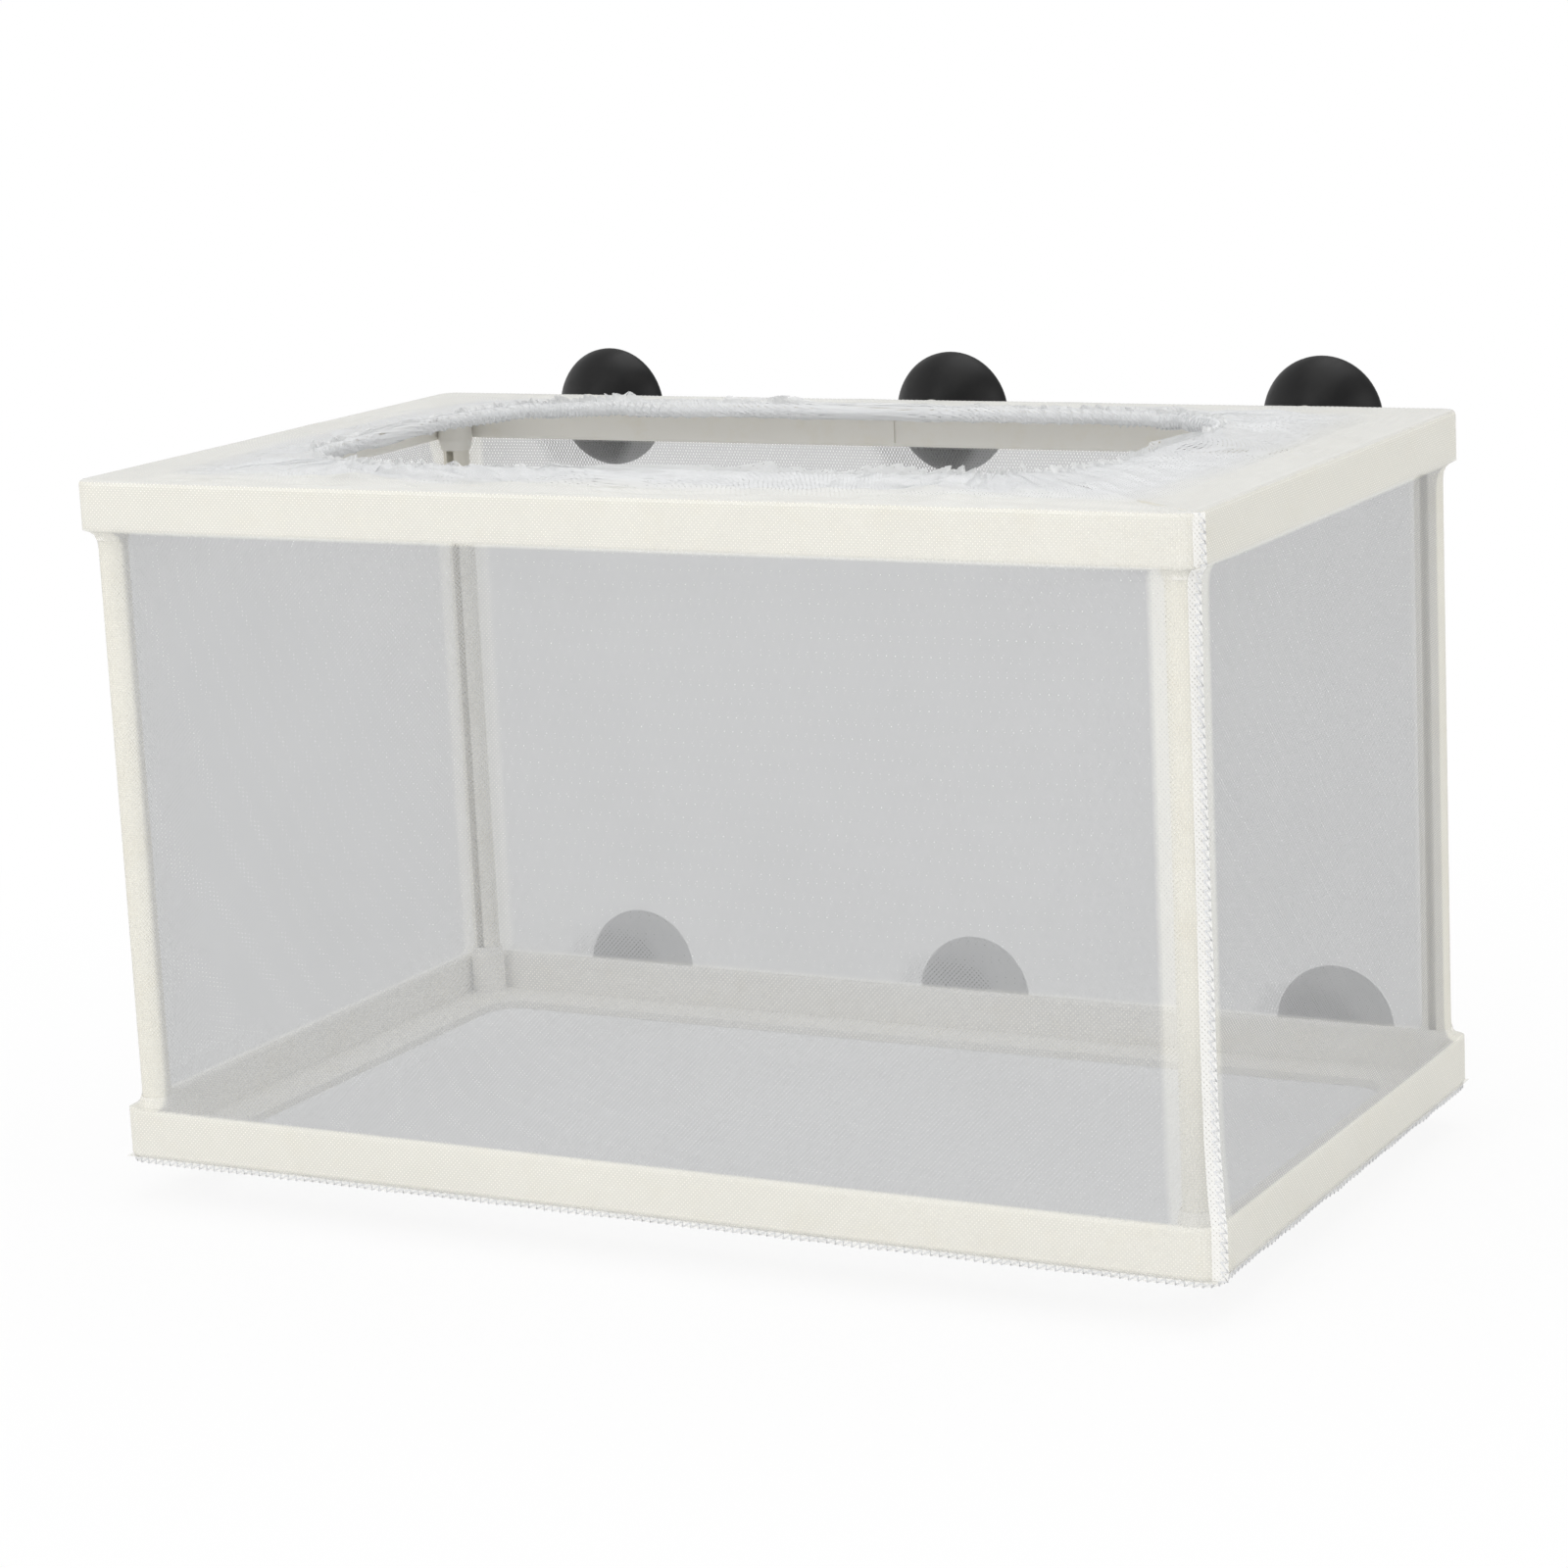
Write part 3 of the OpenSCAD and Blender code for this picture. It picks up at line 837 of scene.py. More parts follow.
    def frill(self, s: float, w: float, off: float) -> Vector:
        """Point of the frill that the gathered net throws up along the hem.

        Args:
            s: Distance along the outer edge.
            w: Distance up the frill.
            off: Distance off the surface.
        """
        centre, out = self.hem(s)
        swing = 0.5 * self.pleat(s, 1.6 * self.pleats, 4.0) + self.frill_swings.at(s, w)
        tuft = 0.6 + max(self.frill_tufts.at(s, 0.0), 0.0) + max(self.frill_fine_tufts.at(s, 0.0), 0.0)
        angle = math.pi / 2 - 0.5 + 0.8 * swing
        reach = 0.8 * self.hem_r + w * tuft + off
        along = Vector((-out.y, out.x, 0))
        point = centre + reach * math.cos(angle) * out
        point += along * (0.9 * swing + self.frill_sways.at(s, w))
        point.z += reach * math.sin(angle)
        return point


@dataclass(frozen=True)
class NetCloth:
    """Knitted net laid out flat: two families of slanting strands, one over the other.

    The pitch is measured across the strands. Their spacing varies a little, as knitting does.
    The strands are drawn wider than the real ones and half clear, so that the net looks as even
    as it does from a step away."""

    pitch: float = 0.7
    strand_w: float = 0.546
    layer_gap: float = 0.06
    step: float = 6.0
    jitter: float = 0.08
    slant: float = math.radians(45)

    @property
    def run(self) -> float:
        """Distance between neighbouring strands along X."""
        return self.pitch / math.sin(self.slant)

    @property
    def lean(self) -> float:
        """How far a strand moves along X for each millimetre that it rises."""
        return 1 / math.tan(self.slant)

    def flat(self, width: float, height: float, start: float = 0.0) -> bmesh.types.BMesh:
        """Lays out a rectangle of net round the origin.

        Args:
            width: Size along X.
            height: Size along Y.
            start: Distance along the cloth of the rectangle's middle, which lines its strands up
                with those of its neighbours.

        Returns:
            The strands as open ribbons, with the second family a little higher than the first.
        """
        bm = bmesh.new()
        self.family(bm, width, height, start, 1)
        self.family(bm, width, height, start, -1)
        for sign in (1, -1):
            cut(bm, (sign * width / 2, 0, 0), (sign, 0, 0), clear_outer=True)
            cut(bm, (0, sign * height / 2, 0), (0, sign, 0), clear_outer=True)
        return bm

    def family(
        self, bm: bmesh.types.BMesh, width: float, height: float, start: float, slope: int
    ) -> None:
        """Adds the parallel strands that rise to the right (slope 1) or to the left (slope -1)."""
        run = self.run
        length = (height + 2 * self.strand_w) / math.sin(self.slant)
        reach = (width + height * self.lean) / 2
        first = math.ceil((start - reach) / run) * run - start
        count = int((reach - first) / run)
        segments = max(1, round(length / self.step))
        verts = bmesh.ops.create_grid(bm, x_segments=segments, y_segments=1, size=0.5)["verts"]
        level = 0.0 if slope > 0 else self.layer_gap
        place = (
            Matrix.Translation((first, 0, level))
            @ Matrix.Rotation(slope * self.slant, 4, "Z")
            @ Matrix.Diagonal((length, self.strand_w, 1, 1))
        )
        bmesh.ops.transform(bm, matrix=place, verts=verts)
        strands = {*verts}
        for vert in verts:
            strands.update(vert.link_edges)
            strands.update(vert.link_faces)
        strands = list(strands)
        made = 1
        while made <= count:
            copied = bmesh.ops.duplicate(bm, geom=strands)["geom"]
            moved = [part for part in copied if isinstance(part, bmesh.types.BMVert)]
            bmesh.ops.translate(bm, vec=(made * run, 0, 0), verts=moved)
            strands += copied
            made *= 2

    def crease(self, bm: bmesh.types.BMesh, along_x: list[float], along_y: list[float]) -> None:
        """Adds rows of vertices, where the cloth will bend, at places along X and along Y."""
        for x in along_x:
            cut(bm, (x, 0, 0), (1, 0, 0))
        for y in along_y:
            cut(bm, (0, y, 0), (0, 1, 0))

    def shape(
        self,
        bm: bmesh.types.BMesh,
        surface: Surface,
        backing: Callable[[float, float], float],
        start: float = 0.0,
    ) -> None:
        """Lays the flat net onto a surface.

        Args:
            bm: The flat net.
            surface: Gives the point for a place on the flat net and a distance off the surface.
            backing: Gives what is right behind a place on the flat net, which sets its painted light
                or painted shade.
            start: Distance along the cloth of the flat net's middle.
        """
        layer = bm.verts.layers.float.new(BACKING)
        for vert in bm.verts:
            u, v, off = vert.co
            slope = 1 if off < self.layer_gap / 2 else -1
            strand = round((u - slope * v * self.lean + start) / self.run)
            u += self.jitter * self.run * rough(1.7 * strand, 0.0, 20.0 + slope)
            vert[layer] = backing(u, v)
            vert.co = surface(u, v, off)


@dataclass
class NetSkirt:
    """The bag's four upright sides and its floor."""

    box: BoxSizes
    bag: BagShape
    cloth: NetCloth = field(default_factory=NetCloth)
    rear_cloth: NetCloth = field(default_factory=lambda: NetCloth(slant=math.radians(60)))
    drift: float = 0.35
    sway: float = 0.4
    short_wave: float = 45.0
    long_wave: float = 60.0
    billow_wave: float = 38.0
    side_fade: float = 25.0
    bar_fade: float = 14.0
    floor_fade: float = 30.0
    sag: float = 0.8
    sag_swing: float = 0.5
    sag_wave: float = 40.0
    boss_gap: float = 0.1
    boss_reach: float = 2.0
    # Distances from a round corner, and from a frame's edge, at which the strands can bend
    corner_gaps: tuple[float, ...] = (1.5, 3, 4.5, 6, 8, 11, 15, 20, 27)
    bar_gaps: tuple[float, ...] = (0, 0.6, 1.4, 3)

    def build(self) -> dict[str, bpy.types.Object]:
        """Builds the four sides and the floor."""
        material = NET_FINISH.material()
        pieces = {}
        start = 0.0
        for side in (Side.RIGHT, Side.REAR, Side.LEFT, Side.FRONT):
            width = self.bag.side_w(side)
            start += width / 2
            pieces[side.name] = self.build_side(side, start, material)
            start += width / 2
        pieces["FLOOR"] = self.build_floor(material)
        return pieces

    def build_side(
        self, side: Side, start: float, material: bpy.types.Material
    ) -> bpy.types.Object:
        """Builds one side of the skirt.

        Args:
            side: Which side.
            start: Distance of its middle along the whole skirt.
            material: The net's material.
        """
        width = self.bag.side_w(side)
        height = self.bag.skirt_h
        flat_half = self.bag.side_l(side) / 2 - self.box.corner_r
        arc = self.box.corner_r * math.pi / 4
        cloth = self.rear_cloth if side is Side.REAR else self.cloth
        bm = cloth.flat(width, height, start)
        straight = self.box.frame_h / 2 - self.box.edge_r
        gaps = [*(-k * arc / 3 for k in range(3)), *self.corner_gaps]
        heights = [straight, *(self.box.bar_edge - gap for gap in self.bar_gaps)]
        cloth.crease(
            bm,
            [sign * (flat_half - gap) for sign in (-1, 1) for gap in gaps],
            [sign * z for sign in (-1, 1) for z in heights],
        )
        if side is Side.REAR:
            self.cut_for_bosses(bm)

        def surface(u: float, v: float, off: float) -> Vector:
            """Point of this side, with the net's own waves and the holes for the sockets."""
            if side is Side.REAR:
                u, v = self.spread(u, v)
            inside = smoothstep(0, self.side_fade, width / 2 - abs(u))
            inside *= smoothstep(0, self.bar_fade, self.box.bar_edge - abs(v))
            seed = start / 10
            wave_u = self.drift * inside * rough(u / self.short_wave, v / self.long_wave, seed)
            wave_v = self.drift * inside * rough(u / self.long_wave, v / self.short_wave, seed + 3)
            billow = self.sway * inside * rough(u / self.billow_wave, v / self.billow_wave, seed + 7)
            return self.bag.skirt(side, u + wave_u, v + wave_v, off + billow)

        cloth.shape(bm, surface, lambda u, v: self.bag.backing(side, u, v), start)
        node = f"net_{side.name.lower()}"
        piece = make_net(bm, f"{node}_cloth", material, replaced=(node,))
        return piece

    def cut_for_bosses(self, bm: bmesh.types.BMesh) -> None:
        """Adds vertices to the strands near each cup socket, so that they can bend round it."""
        reach = self.box.boss_r + self.boss_reach
        for x, y in self.box.cup_places():
            for k in range(-3, 4):
                for normal in ((1, 0, 0), (0, 1, 0)):
                    parts = set()
                    for face in bm.faces:
                        away = face.calc_center_median() - Vector((x, y, 0))
                        if max(abs(away.x), abs(away.y)) < reach + self.cloth.step:
                            parts.update((face, *face.edges, *face.verts))
                    cut(bm, (x + k * reach / 4, y + k * reach / 4, 0), normal, list(parts))

    def spread(self, u: float, v: float) -> tuple[float, float]:
        """Moves a point of the rear net out of the sockets' way, as the strands part round them."""
        hole = self.box.boss_r + self.boss_gap
        outer = self.box.cup_row
        for x, y in self.box.cup_places():
            away = Vector((u - x, v - y))
            if away.length < outer:
                if away.length < TINY:
                    away = Vector((0, TINY))
                away = away.normalized() * (hole + away.length / outer * (outer - hole))
                return x + away.x, y + away.y
        return u, v

    def build_floor(self, material: bpy.types.Material) -> bpy.types.Object:
        """Builds the floor, which lies under the bottom frame."""
        box = self.box
        bm = self.cloth.flat(box.frame_l, box.frame_d)
        inner_x = box.frame_l / 2 - box.flange_w
        inner_y = box.frame_d / 2 - box.flange_w
        self.cloth.crease(
            bm,
            [sign * (inner_x - k) for sign in (-1, 1) for k in (0, 1)],
            [sign * (inner_y - k) for sign in (-1, 1) for k in (0, 1)],
        )

        def surface(u: float, v: float, off: float) -> Vector:
            """Point of the floor, with a slight sag inside the frame."""
            inside = smoothstep(0, self.floor_fade, inner_x - abs(u))
            inside *= smoothstep(0, self.floor_fade, inner_y - abs(v))
            wave = self.drift * inside
            x = u + wave * rough(u / self.short_wave, v / self.long_wave, 2.5)
            y = v + wave * rough(u / self.long_wave, v / self.short_wave, 3.5)
            swing = self.sag_swing * rough(u / self.sag_wave, v / self.sag_wave, 4.5)
            sag = inside * (self.sag + swing)
            return Vector((x, y + box.mid_y, -box.top_z - self.bag.skin - off - sag))

        def backing(u: float, v: float) -> float:
            """Painted light from the white flange: 1 under the flange and 0 inside it."""
            return float(abs(u) >= inner_x or abs(v) >= inner_y)

        self.cloth.shape(bm, surface, backing)
        piece = make_net(bm, "net_floor_cloth", material, replaced=("net_floor",))
        return piece


@dataclass
class GatheredMouth:
    """The collar over the top frame, the hem that the elastic gathers, and its frill."""

    box: BoxSizes
    bag: BagShape
    mouth: MouthShape
    cloth: NetCloth = field(default_factory=lambda: NetCloth(0.8, 0.6, 0.08, 1.8))
    hem_h: float = 7.6
    frill_h: float = 1.8
    # Widths over which the collar's painted light from the flange fades, and the painted light that
    # the frill gets all over
    fade_before: float = 3.0
    fade_beyond: float = 6.0
    frill_backing: float = 0.3
    cord_r: float = 0.75
    cord_rings: int = 420
    cord_sides: int = 10
    braid_strands: int = 5
    braid_turns: int = 60
    braid_depth: float = 0.08

    def build(self) -> bpy.types.Object:
        """Builds the collar with its hem, frill and elastic, and returns the collar."""
        material = COLLAR_FINISH.material()
        width = self.mouth.collar_w + self.hem_h
        collar = self.strip("net_collar_cloth", width, self.mouth.cloth, material)
        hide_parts("net_collar")
        frill = self.strip("net_hem_frill", self.frill_h, self.mouth.frill, material)
        self.build_elastic()
        self.bag.perimeter * MM
        return collar

    def strip(
        self, name: str, height: float, surface: Surface, material: bpy.types.Material
    ) -> bpy.types.Object:
        """Builds a strip of net that runs all round the mouth.

        Args:
            name: The piece's name.
            height: The strip's flat height.
            surface: Gives the point for a place on the strip.
            material: The net's material.
        """
        long = self.bag.perimeter
        bm = self.cloth.flat(long, height)
        flange = self.box.flange_w

        def laid(u: float, v: float, off: float) -> Vector:
            """Point of the strip, counted from its lower corner."""
            return surface(u + long / 2, v + height / 2, off)

        def backing(u: float, v: float) -> float:
            """Painted light from the white plastic: 1 over the flange and less beyond it; on the
            frill, the same all over.
            """
            if height < flange:
                return self.frill_backing
            w = v + height / 2
            return 1 - smoothstep(flange - self.fade_before, flange + self.fade_beyond, w)

        self.cloth.shape(bm, laid, backing)
        return make_net(bm, name, material)

    def build_elastic(self) -> bpy.types.Object:
        """Builds the covered elastic cord that runs inside the hem."""
        bm = bmesh.new()
        section, edges = start_tube(bm, self.cord_sides, self.cord_r)
        first_edges = edges
        rest = [vert.co.copy() for vert in section]
        for ring in range(self.cord_rings):
            if ring:
                section, edges = next_ring(bm, edges)
            centre, out = self.mouth.hem(self.bag.perimeter * ring / self.cord_rings)
            for vert, co in zip(section, rest):
                angle = math.atan2(co.y, co.x)
                twist = FULL_TURN * self.braid_turns * ring / self.cord_rings
                braid = 1 + self.braid_depth * math.cos(self.braid_strands * angle + twist)
                vert.co = centre + self.cord_r * braid * math.cos(angle) * out
                vert.co.z += self.cord_r * braid * math.sin(angle)
        bmesh.ops.bridge_loops(bm, edges=[*first_edges, *edges])
        bmesh.ops.recalc_face_normals(bm, faces=bm.faces)
        return make_piece(
            bm,
            "elastic_cord_braided",
            THREAD_FINISH.material(),
            Slot.ELASTIC,
            replaced=("elastic_cord",),
        )


@dataclass
class SuctionCups:
    """The six black suction cups, each turned as one piece with its neck and bulb."""

    box: BoxSizes
    cup_h: float = 11.6
    crown_r: float = 4.2
    land_w: float = 1.2
    rim_t: float = 0.8
    hollow_depth: float = 4.0
    neck_r: float = 2.4
    neck_len: float = 1.9
    bulb_r: float = 3.1
    bulb_len: float = 4.4
    bulb_chamfer: float = 0.6
    fillet_r: float = 0.3
    rim_round: float = 0.25
    steps: int = 24
    segments: int = 72

    def dome_radius(self, share: float) -> float:
        """Radius of the dome at a share of its height."""
        bow = 0.8 * math.sin(math.pi / 2 * share) + 0.2 * share**1.6
        return self.crown_r + (self.box.cup_d / 2 - self.crown_r) * bow

    def profile(self) -> list[tuple[float, float]]:
        """Radius and height of the points of a cup's outline, from the bulb to the hollow."""
        hollow_r = self.box.cup_d / 2 - self.land_w
        end = -self.neck_len - self.bulb_len
        points = [
            (0.0, end),
            (self.bulb_r - self.bulb_chamfer, end),
            (self.bulb_r, end + self.bulb_chamfer),
            (self.bulb_r, -self.neck_len),
            (self.neck_r, -self.neck_len),
            (self.neck_r, -self.fillet_r),
            (self.neck_r + self.fillet_r, 0.0),
            (self.crown_r - self.fillet_r, 0.0),
        ]
        for k in range(1, self.steps + 1):
            share = k / self.steps
            points.append((self.dome_radius(share), (self.cup_h - self.rim_t) * share))
        points.append((self.box.cup_d / 2, self.cup_h - self.rim_round))
        points.append((self.box.cup_d / 2 - self.rim_round, self.cup_h))
        for k in range(self.steps + 1):
            angle = math.pi / 2 * k / self.steps
            radius = hollow_r * math.cos(angle) if k < self.steps else 0.0
            points.append((radius, self.cup_h - self.hollow_depth * math.sin(angle)))
        return points

    def build(self) -> list[bpy.types.Object]:
        """Builds the six cups, each on its own body."""
        material = RUBBER_FINISH.material()
        made = []
        for row_name, row in (("top", 1), ("bottom", -1)):
            for column_name, column in (("left", -1), ("middle", 0), ("right", 1)):
                name = f"{row_name}_{column_name}"
                place = (column * self.box.cup_pitch, -self.cup_h, row * self.box.row_z)
                made.append(self.build_cup(name, place, material))
        return made

    def build_cup(self, name: str, place: tuple, material: bpy.types.Material) -> bpy.types.Object:
        """Builds one cup.

        Args:
            name: Its row and column, as in the names of its node and body.
            place: Where its crown is, with its axis pointing at the glass.
            material: The cups' rubber.
        """
        bm = bmesh.new()
        outline = [bm.verts.new((radius, 0, height)) for radius, height in self.profile()]
        for pair in zip(outline, outline[1:]):
            bm.edges.new(pair)
        bmesh.ops.spin(
            bm,
            geom=everything(bm),
            cent=(0, 0, 0),
            axis=(0, 0, 1),
            angle=FULL_TURN,
            steps=self.segments,
            use_merge=True,
        )
        bmesh.ops.remove_doubles(bm, verts=bm.verts, dist=WELD)
        bmesh.ops.recalc_face_normals(bm, faces=bm.faces)
        stand = Matrix.Translation(place) @ Matrix.Rotation(-math.pi / 2, 4, "X")
        bmesh.ops.transform(bm, matrix=stand, verts=bm.verts)
        node = f"suction_cup_{name}"
        return make_piece(
            bm, f"{node}_rubber", material, Slot.CUP, body=f"cup_{name}", replaced=(node,)
        )


@dataclass
class Seams:
    """The sewn seams of the bag: the upright one at the front right corner and the floor's."""

    box: BoxSizes
    bag: BagShape
    mouth: MouthShape
    flap_w: float = 3.4
    hang: float = 1.3
    hang_inset: float = 0.5
    hang_gap: float = 0.1
    stitch_pitch: float = 2.0
    stitch_w: float = 1.6
    stitch_off: float = 0.1
    thread_r: float = 0.14
    thread_sides: int = 5
    # How far the flap stands off the front's plane at the top, and turns on its way down
    flap_angle: float = 38.0
    flap_turn: float = 34.0
    flap_twist: Ripple = Ripple(0.08, 12.0, 1.0, 2.0)
    flap_wave: Ripple = Ripple(0.25, 7.0, 1.0, 3.0)
    # Painted light that the flap gets from the white behind it in the open and at the frames, and that
    # the floor's seam gets
    open_backing: float = 0.55
    bar_backing: float = 0.9
    hang_backing: float = 0.8
    cloth: NetCloth = field(default_factory=lambda: NetCloth(0.8, 0.6, 0.06, 2.5))

    def build(self) -> list[bpy.types.Object]:
        """Builds the two seam allowances and their stitches."""
        material = SEAM_FINISH.material()
        thread = THREAD_FINISH.material()
        heights = self.places(self.bag.skirt_h)
        round_floor = self.places(self.bag.perimeter)
        off = self.stitch_off
        return [
            self.build_flap(material),
            self.build_allowance(material),
            self.stitches(
                "corner_seam_stitches",
                thread,
                [self.flap_point(z, self.flap_w, off) for z in heights],
                [self.flap_point(z, self.flap_w - self.stitch_w, off) for z in heights],
            ),
            self.stitches(
                "floor_seam_stitches",
                thread,
                [self.hang_point(s, self.hang, off) for s in round_floor],
                [self.hang_point(s, self.hang_gap, off) for s in round_floor],
            ),
        ]

    def places(self, length: float) -> list[float]:
        """Stitch places along a seam, counted from its middle."""
        count = int(length / self.stitch_pitch)
        return [(k - count / 2) * length / count for k in range(count + 1)]

    def flap_point(self, z: float, w: float, off: float) -> Vector:
        """Point of the upright seam allowance.

        Args:
            z: Height along the seam.
            w: Distance from the corner out to the allowance's edge.
            off: Distance off its surface.
        """
        root = self.bag.skirt(Side.RIGHT, -self.bag.side_w(Side.RIGHT) / 2, z, 0.05)
        low = smoothstep(0.6 * self.box.frame_h / 2, -self.box.frame_h / 2, z)
        angle = math.radians(self.flap_angle - self.flap_turn * low) + self.flap_twist.at(z, 0)
        out = Vector((math.cos(angle), math.sin(angle), 0))
        lift = Vector((math.sin(angle), -math.cos(angle), 0))
        reach = w * (0.8 + 0.2 * low)
        return root + reach * out + (off + self.flap_wave.at(z, w)) * lift

    def build_flap(self, material: bpy.types.Material) -> bpy.types.Object:
        """Builds the upright seam allowance."""
        height = self.bag.skirt_h
        width = self.flap_w
        bm = self.cloth.flat(height, width)
        self.cloth.shape(
            bm,
            lambda u, v, off: self.flap_point(u, v + width / 2, off),
            lambda u, v: self.open_backing if abs(u) < self.box.bar_edge else self.bar_backing,
        )
        piece = make_net(bm, "corner_seam_allowance", material, Slot.SEAM, ("corner_seam",))
        return piece

    def hang_point(self, s: float, w: float, off: float) -> Vector:
        """Point of the seam allowance under the floor's edge.

        Args:
            s: Distance along the edge, counted from the middle of the strip.
            w: Distance down from the floor.
            off: Distance off its surface.
        """
        edge, out = self.mouth.rim(s + self.bag.perimeter / 2)
        sway = 0.5 * w * rough(s / 9, 0, 5.0)
        point = edge + out * (off - self.hang_inset + sway)
        point.y += self.box.mid_y
        point.z = -self.box.top_z - self.hang_gap - w
        return point

    def build_allowance(self, material: bpy.types.Material) -> bpy.types.Object:
        """Builds the seam allowance that hangs under the floor's edge."""
        width = self.bag.perimeter
        bm = self.cloth.flat(width, self.hang)
        self.cloth.shape(
            bm,
            lambda u, v, off: self.hang_point(u, v + self.hang / 2, off),
            lambda u, v: self.hang_backing,
        )
        return make_net(bm, "floor_seam_allowance", material, Slot.SEAM, ("floor_seam",))

    def stitches(
        self, name: str, material: bpy.types.Material, outer: list[Vector], inner: list[Vector]
    ) -> bpy.types.Object:
        """Builds overlock stitches: a thread that zigzags between two lines.

        Args:
            name: The piece's name.
            material: The thread's material.
            outer: Points of the line along the seam's edge.
            inner: Points of the line inside the seam.
        """
        bm = bmesh.new()
        for k in range(len(outer) - 1):
            ahead_in = inner[k + 1]
            rise = (inner[k] + outer[k]) / 2
            stops = [inner[k], rise, outer[k], (outer[k] + ahead_in) / 2, ahead_in]
            section, edges = start_tube(bm, self.thread_sides, self.thread_r)
            rest = [vert.co.copy() for vert in section]
            for i, stop in enumerate(stops):
                if i:
                    section, edges = next_ring(bm, edges)
                ahead = stops[min(i + 1, len(stops) - 1)] - stops[max(i - 1, 0)]
                turn = ahead.to_track_quat("Z", "Y")
                for vert, co in zip(section, rest):
                    vert.co = stop + turn @ co
        bmesh.ops.recalc_face_normals(bm, faces=bm.faces)
        return make_piece(bm, name, material, Slot.SEAM)


@dataclass
class PlasticFrames:
    """The two moulded frames and four posts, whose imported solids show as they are."""

    def build(self) -> None:
        """Gives the frames and posts their finishes."""
        moulded = FRAME_FINISH.material()
        extruded = POST_FINISH.material()
        for name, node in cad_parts.items():
            if name.endswith("_frame"):
                self.dress(node, moulded, Slot.FRAME)
            elif name.startswith("post_"):
                self.dress(node, extruded, Slot.POST)

    def dress(self, node: bpy.types.Object, material: bpy.types.Material, slot: Slot) -> None:
        """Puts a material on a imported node."""
        node.data.materials.clear()
        node.data.materials.append(material)
        LOG.info("%s: finished as %s", node.name, material.name)


# ---- Camera, floor and light ----------------------------------------------------------------


@dataclass(frozen=True)
class PhotoCamera:
    """The camera, where the photograph was taken from. Angles are in degrees, places in metres."""

    place: tuple[float, float, float] = (0.44374, -0.92025, 0.19932)
    azimuth: float = 28.257
    elevation: float = 11.965
    roll: float = -2.731
    focal_px: float = 4368.06
    image_px: float = 1600.0
    sensor: float = 36.0

    def build(self) -> bpy.types.Object:
        """Builds the camera and makes it the scene's."""
        azimuth, elevation, roll = map(math.radians, (self.azimuth, self.elevation, self.roll))
        back = Vector(
            (
                math.sin(azimuth) * math.cos(elevation),
                -math.cos(azimuth) * math.cos(elevation),
                math.sin(elevation),
            )
        )
        level = Vector((math.cos(azimuth), math.sin(azimuth), 0))
        above = back.cross(level)
        right = math.cos(roll) * level + math.sin(roll) * above
        up = -math.sin(roll) * level + math.cos(roll) * above
        data = bpy.data.cameras.new("photo_camera")
        data.sensor_width = self.sensor
        data.lens = self.sensor * self.focal_px / self.image_px
        data.clip_start = 0.01
        data.clip_end = 20.0
        camera = bpy.data.objects.new("photo_camera", data)
        turn = Matrix((right, up, back)).transposed().to_4x4()
        camera.matrix_world = Matrix.Translation(self.place) @ turn
        bpy.context.scene.collection.objects.link(camera)
        bpy.context.scene.camera = camera
        return camera


@dataclass(frozen=True)
class Softbox:
    """A square area lamp: its place from the object's middle and its side in metres, and watts."""

    name: str
    place: tuple[float, float, float]
    side: float
    power: float

    def build(self, middle: Vector) -> bpy.types.Object:
        """Builds the lamp, which faces the object's middle."""
        data = bpy.data.lights.new(self.name, "AREA")
        data.size = self.side
        data.energy = self.power
        lamp = bpy.data.objects.new(self.name, data)
        lamp.location = middle + Vector(self.place)
        lamp.rotation_euler = (middle - lamp.location).to_track_quat("-Z", "Y").to_euler()
        bpy.context.scene.collection.objects.link(lamp)
        return lamp


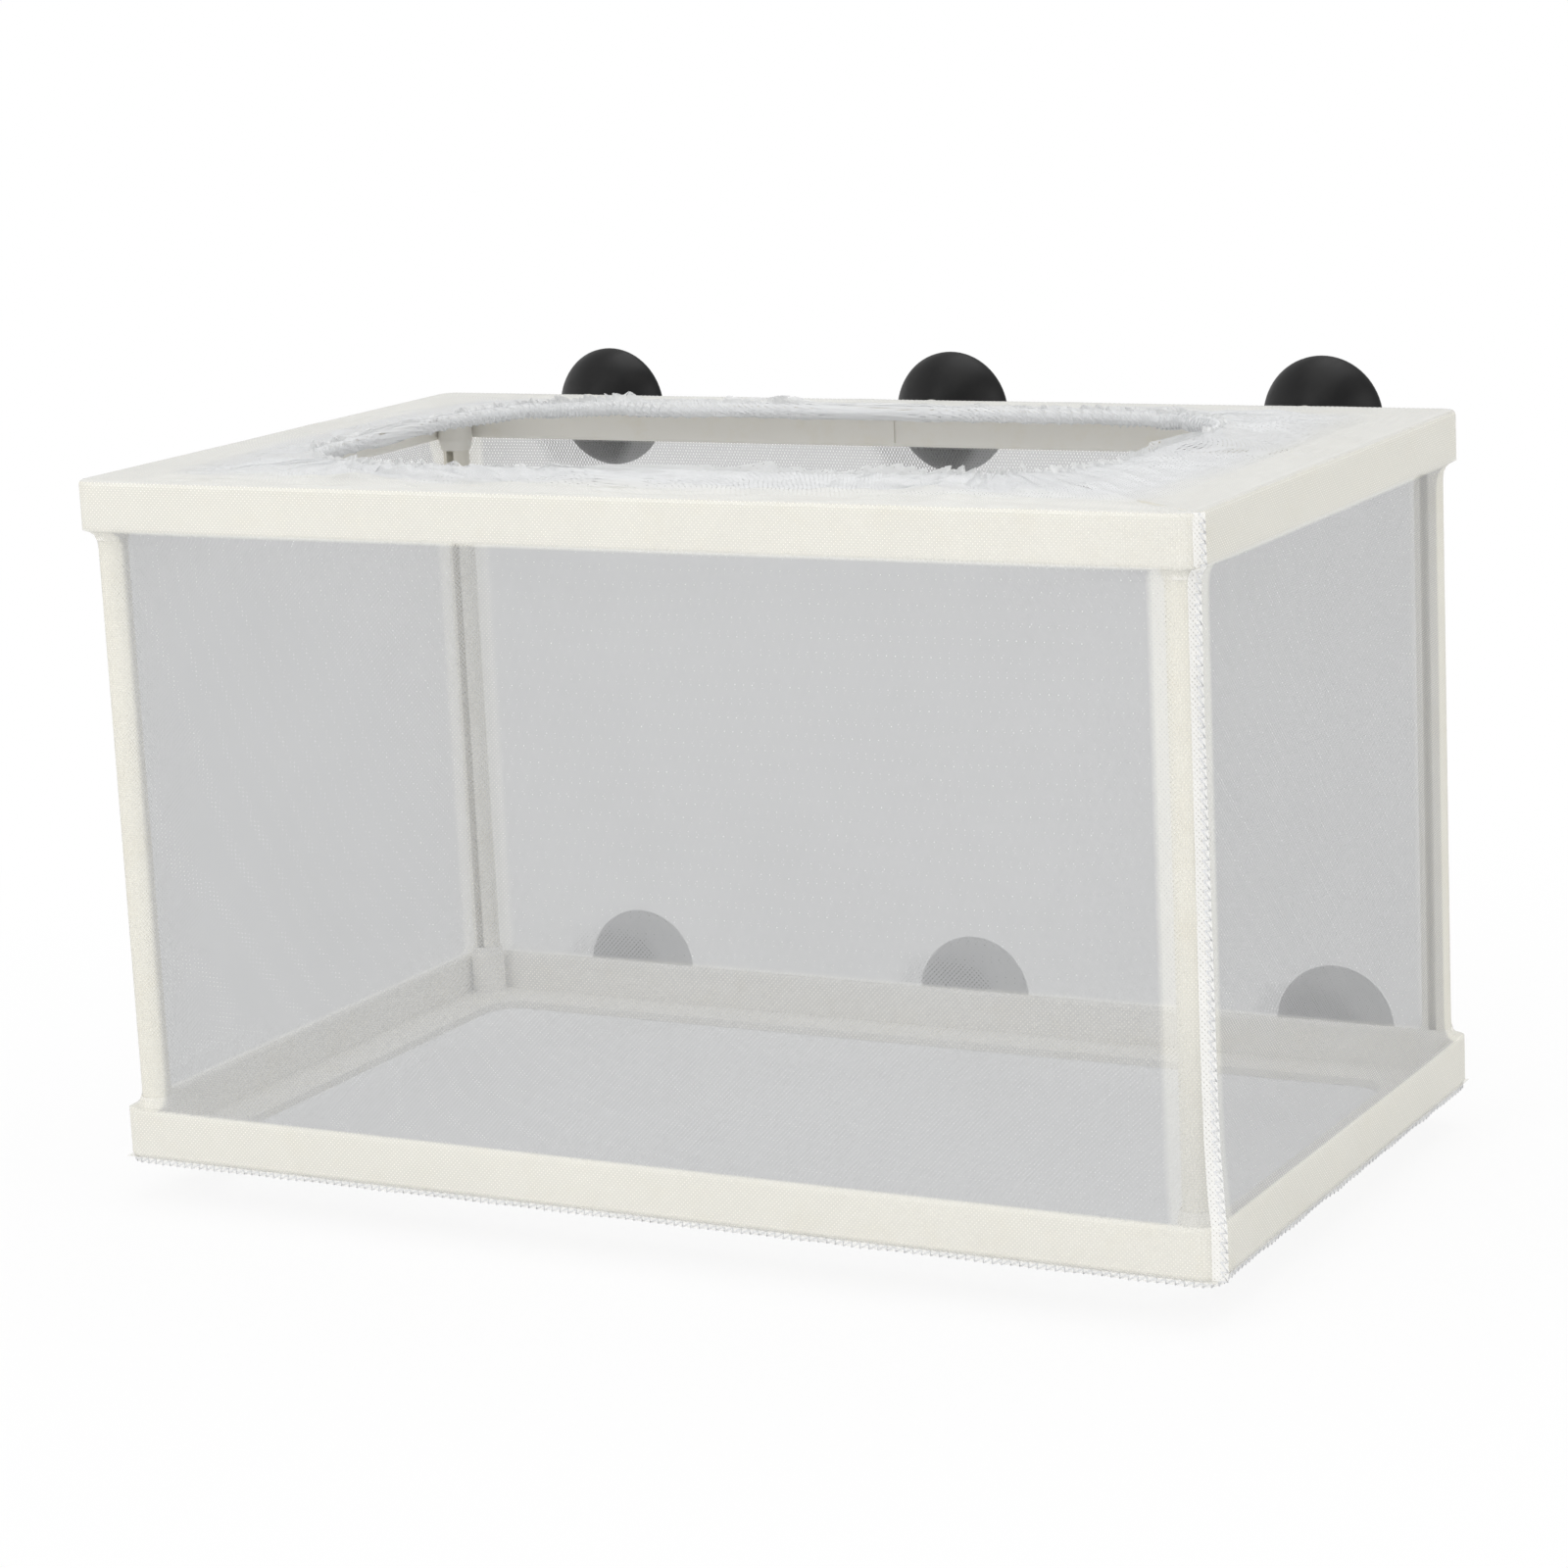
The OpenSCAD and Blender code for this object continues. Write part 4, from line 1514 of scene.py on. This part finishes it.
@dataclass(frozen=True)
class Studio:
    """Plain soft studio light, a pale floor and a white surround. Lengths are in metres."""

    fill: float = 0.64
    floor_size: float = 6.0
    floor_z: float = -0.0872
    middle_y: float = -0.094
    softboxes: tuple[Softbox, ...] = (
        Softbox("softbox_key", (-0.7, -1.5, 1.5), 1.3, 7.0),
        Softbox("softbox_front", (-0.35, -1.9, 0.32), 0.7, 6.0),
        Softbox("softbox_top", (0.1, 0.3, 1.8), 1.5, 11.0),
        Softbox("softbox_side", (1.8, -0.2, 0.6), 1.0, 5.0),
    )

    def build(self) -> None:
        """Builds the surround, the floor and the soft lamps."""
        self.build_surround()
        self.build_floor()
        for softbox in self.softboxes:
            softbox.build(Vector((0.0, self.middle_y, 0.0)))

    def build_surround(self) -> None:
        """Builds the world: an even fill light, seen as white."""
        world = bpy.data.worlds.new("white_surround")
        add = Shader(world).add
        rays = add("LightPath").outputs
        seen = add("Math", rays["Is Camera Ray"], rays["Is Transmission Ray"], operation="MAXIMUM")
        strength = add("MapRange", Value=seen, To_Min=self.fill, To_Max=1.0)
        light = add("Background", Color=linear(PAGE_WHITE), Strength=strength)
        add("OutputWorld", Surface=light)
        bpy.context.scene.world = world

    def build_floor(self) -> None:
        """Builds the floor just under the lowest cups."""
        bm = bmesh.new()
        bmesh.ops.create_grid(bm, x_segments=1, y_segments=1, size=self.floor_size / 2)
        mesh = bpy.data.meshes.new("studio_floor")
        bm.to_mesh(mesh)
        bm.free()
        mesh.materials.append(BOARD_FINISH.material())
        floor = bpy.data.objects.new("studio_floor", mesh)
        floor.location = (0, self.middle_y, self.floor_z)
        bpy.context.scene.collection.objects.link(floor)


def main() -> None:
    """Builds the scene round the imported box."""
    logging.basicConfig(level=logging.INFO, format="%(message)s")
    bpy.context.scene.view_settings.view_transform = "Standard"
    PhotoCamera().build()
    box = BoxSizes.from_frame()
    bag = BagShape(box)
    PlasticFrames().build()
    SuctionCups(box).build()
    NetSkirt(box, bag).build()
    mouth = MouthShape(box, bag)
    GatheredMouth(box, bag, mouth).build()
    Seams(box, bag, mouth).build()
    Studio().build()


if __name__ == "__main__":
    main()
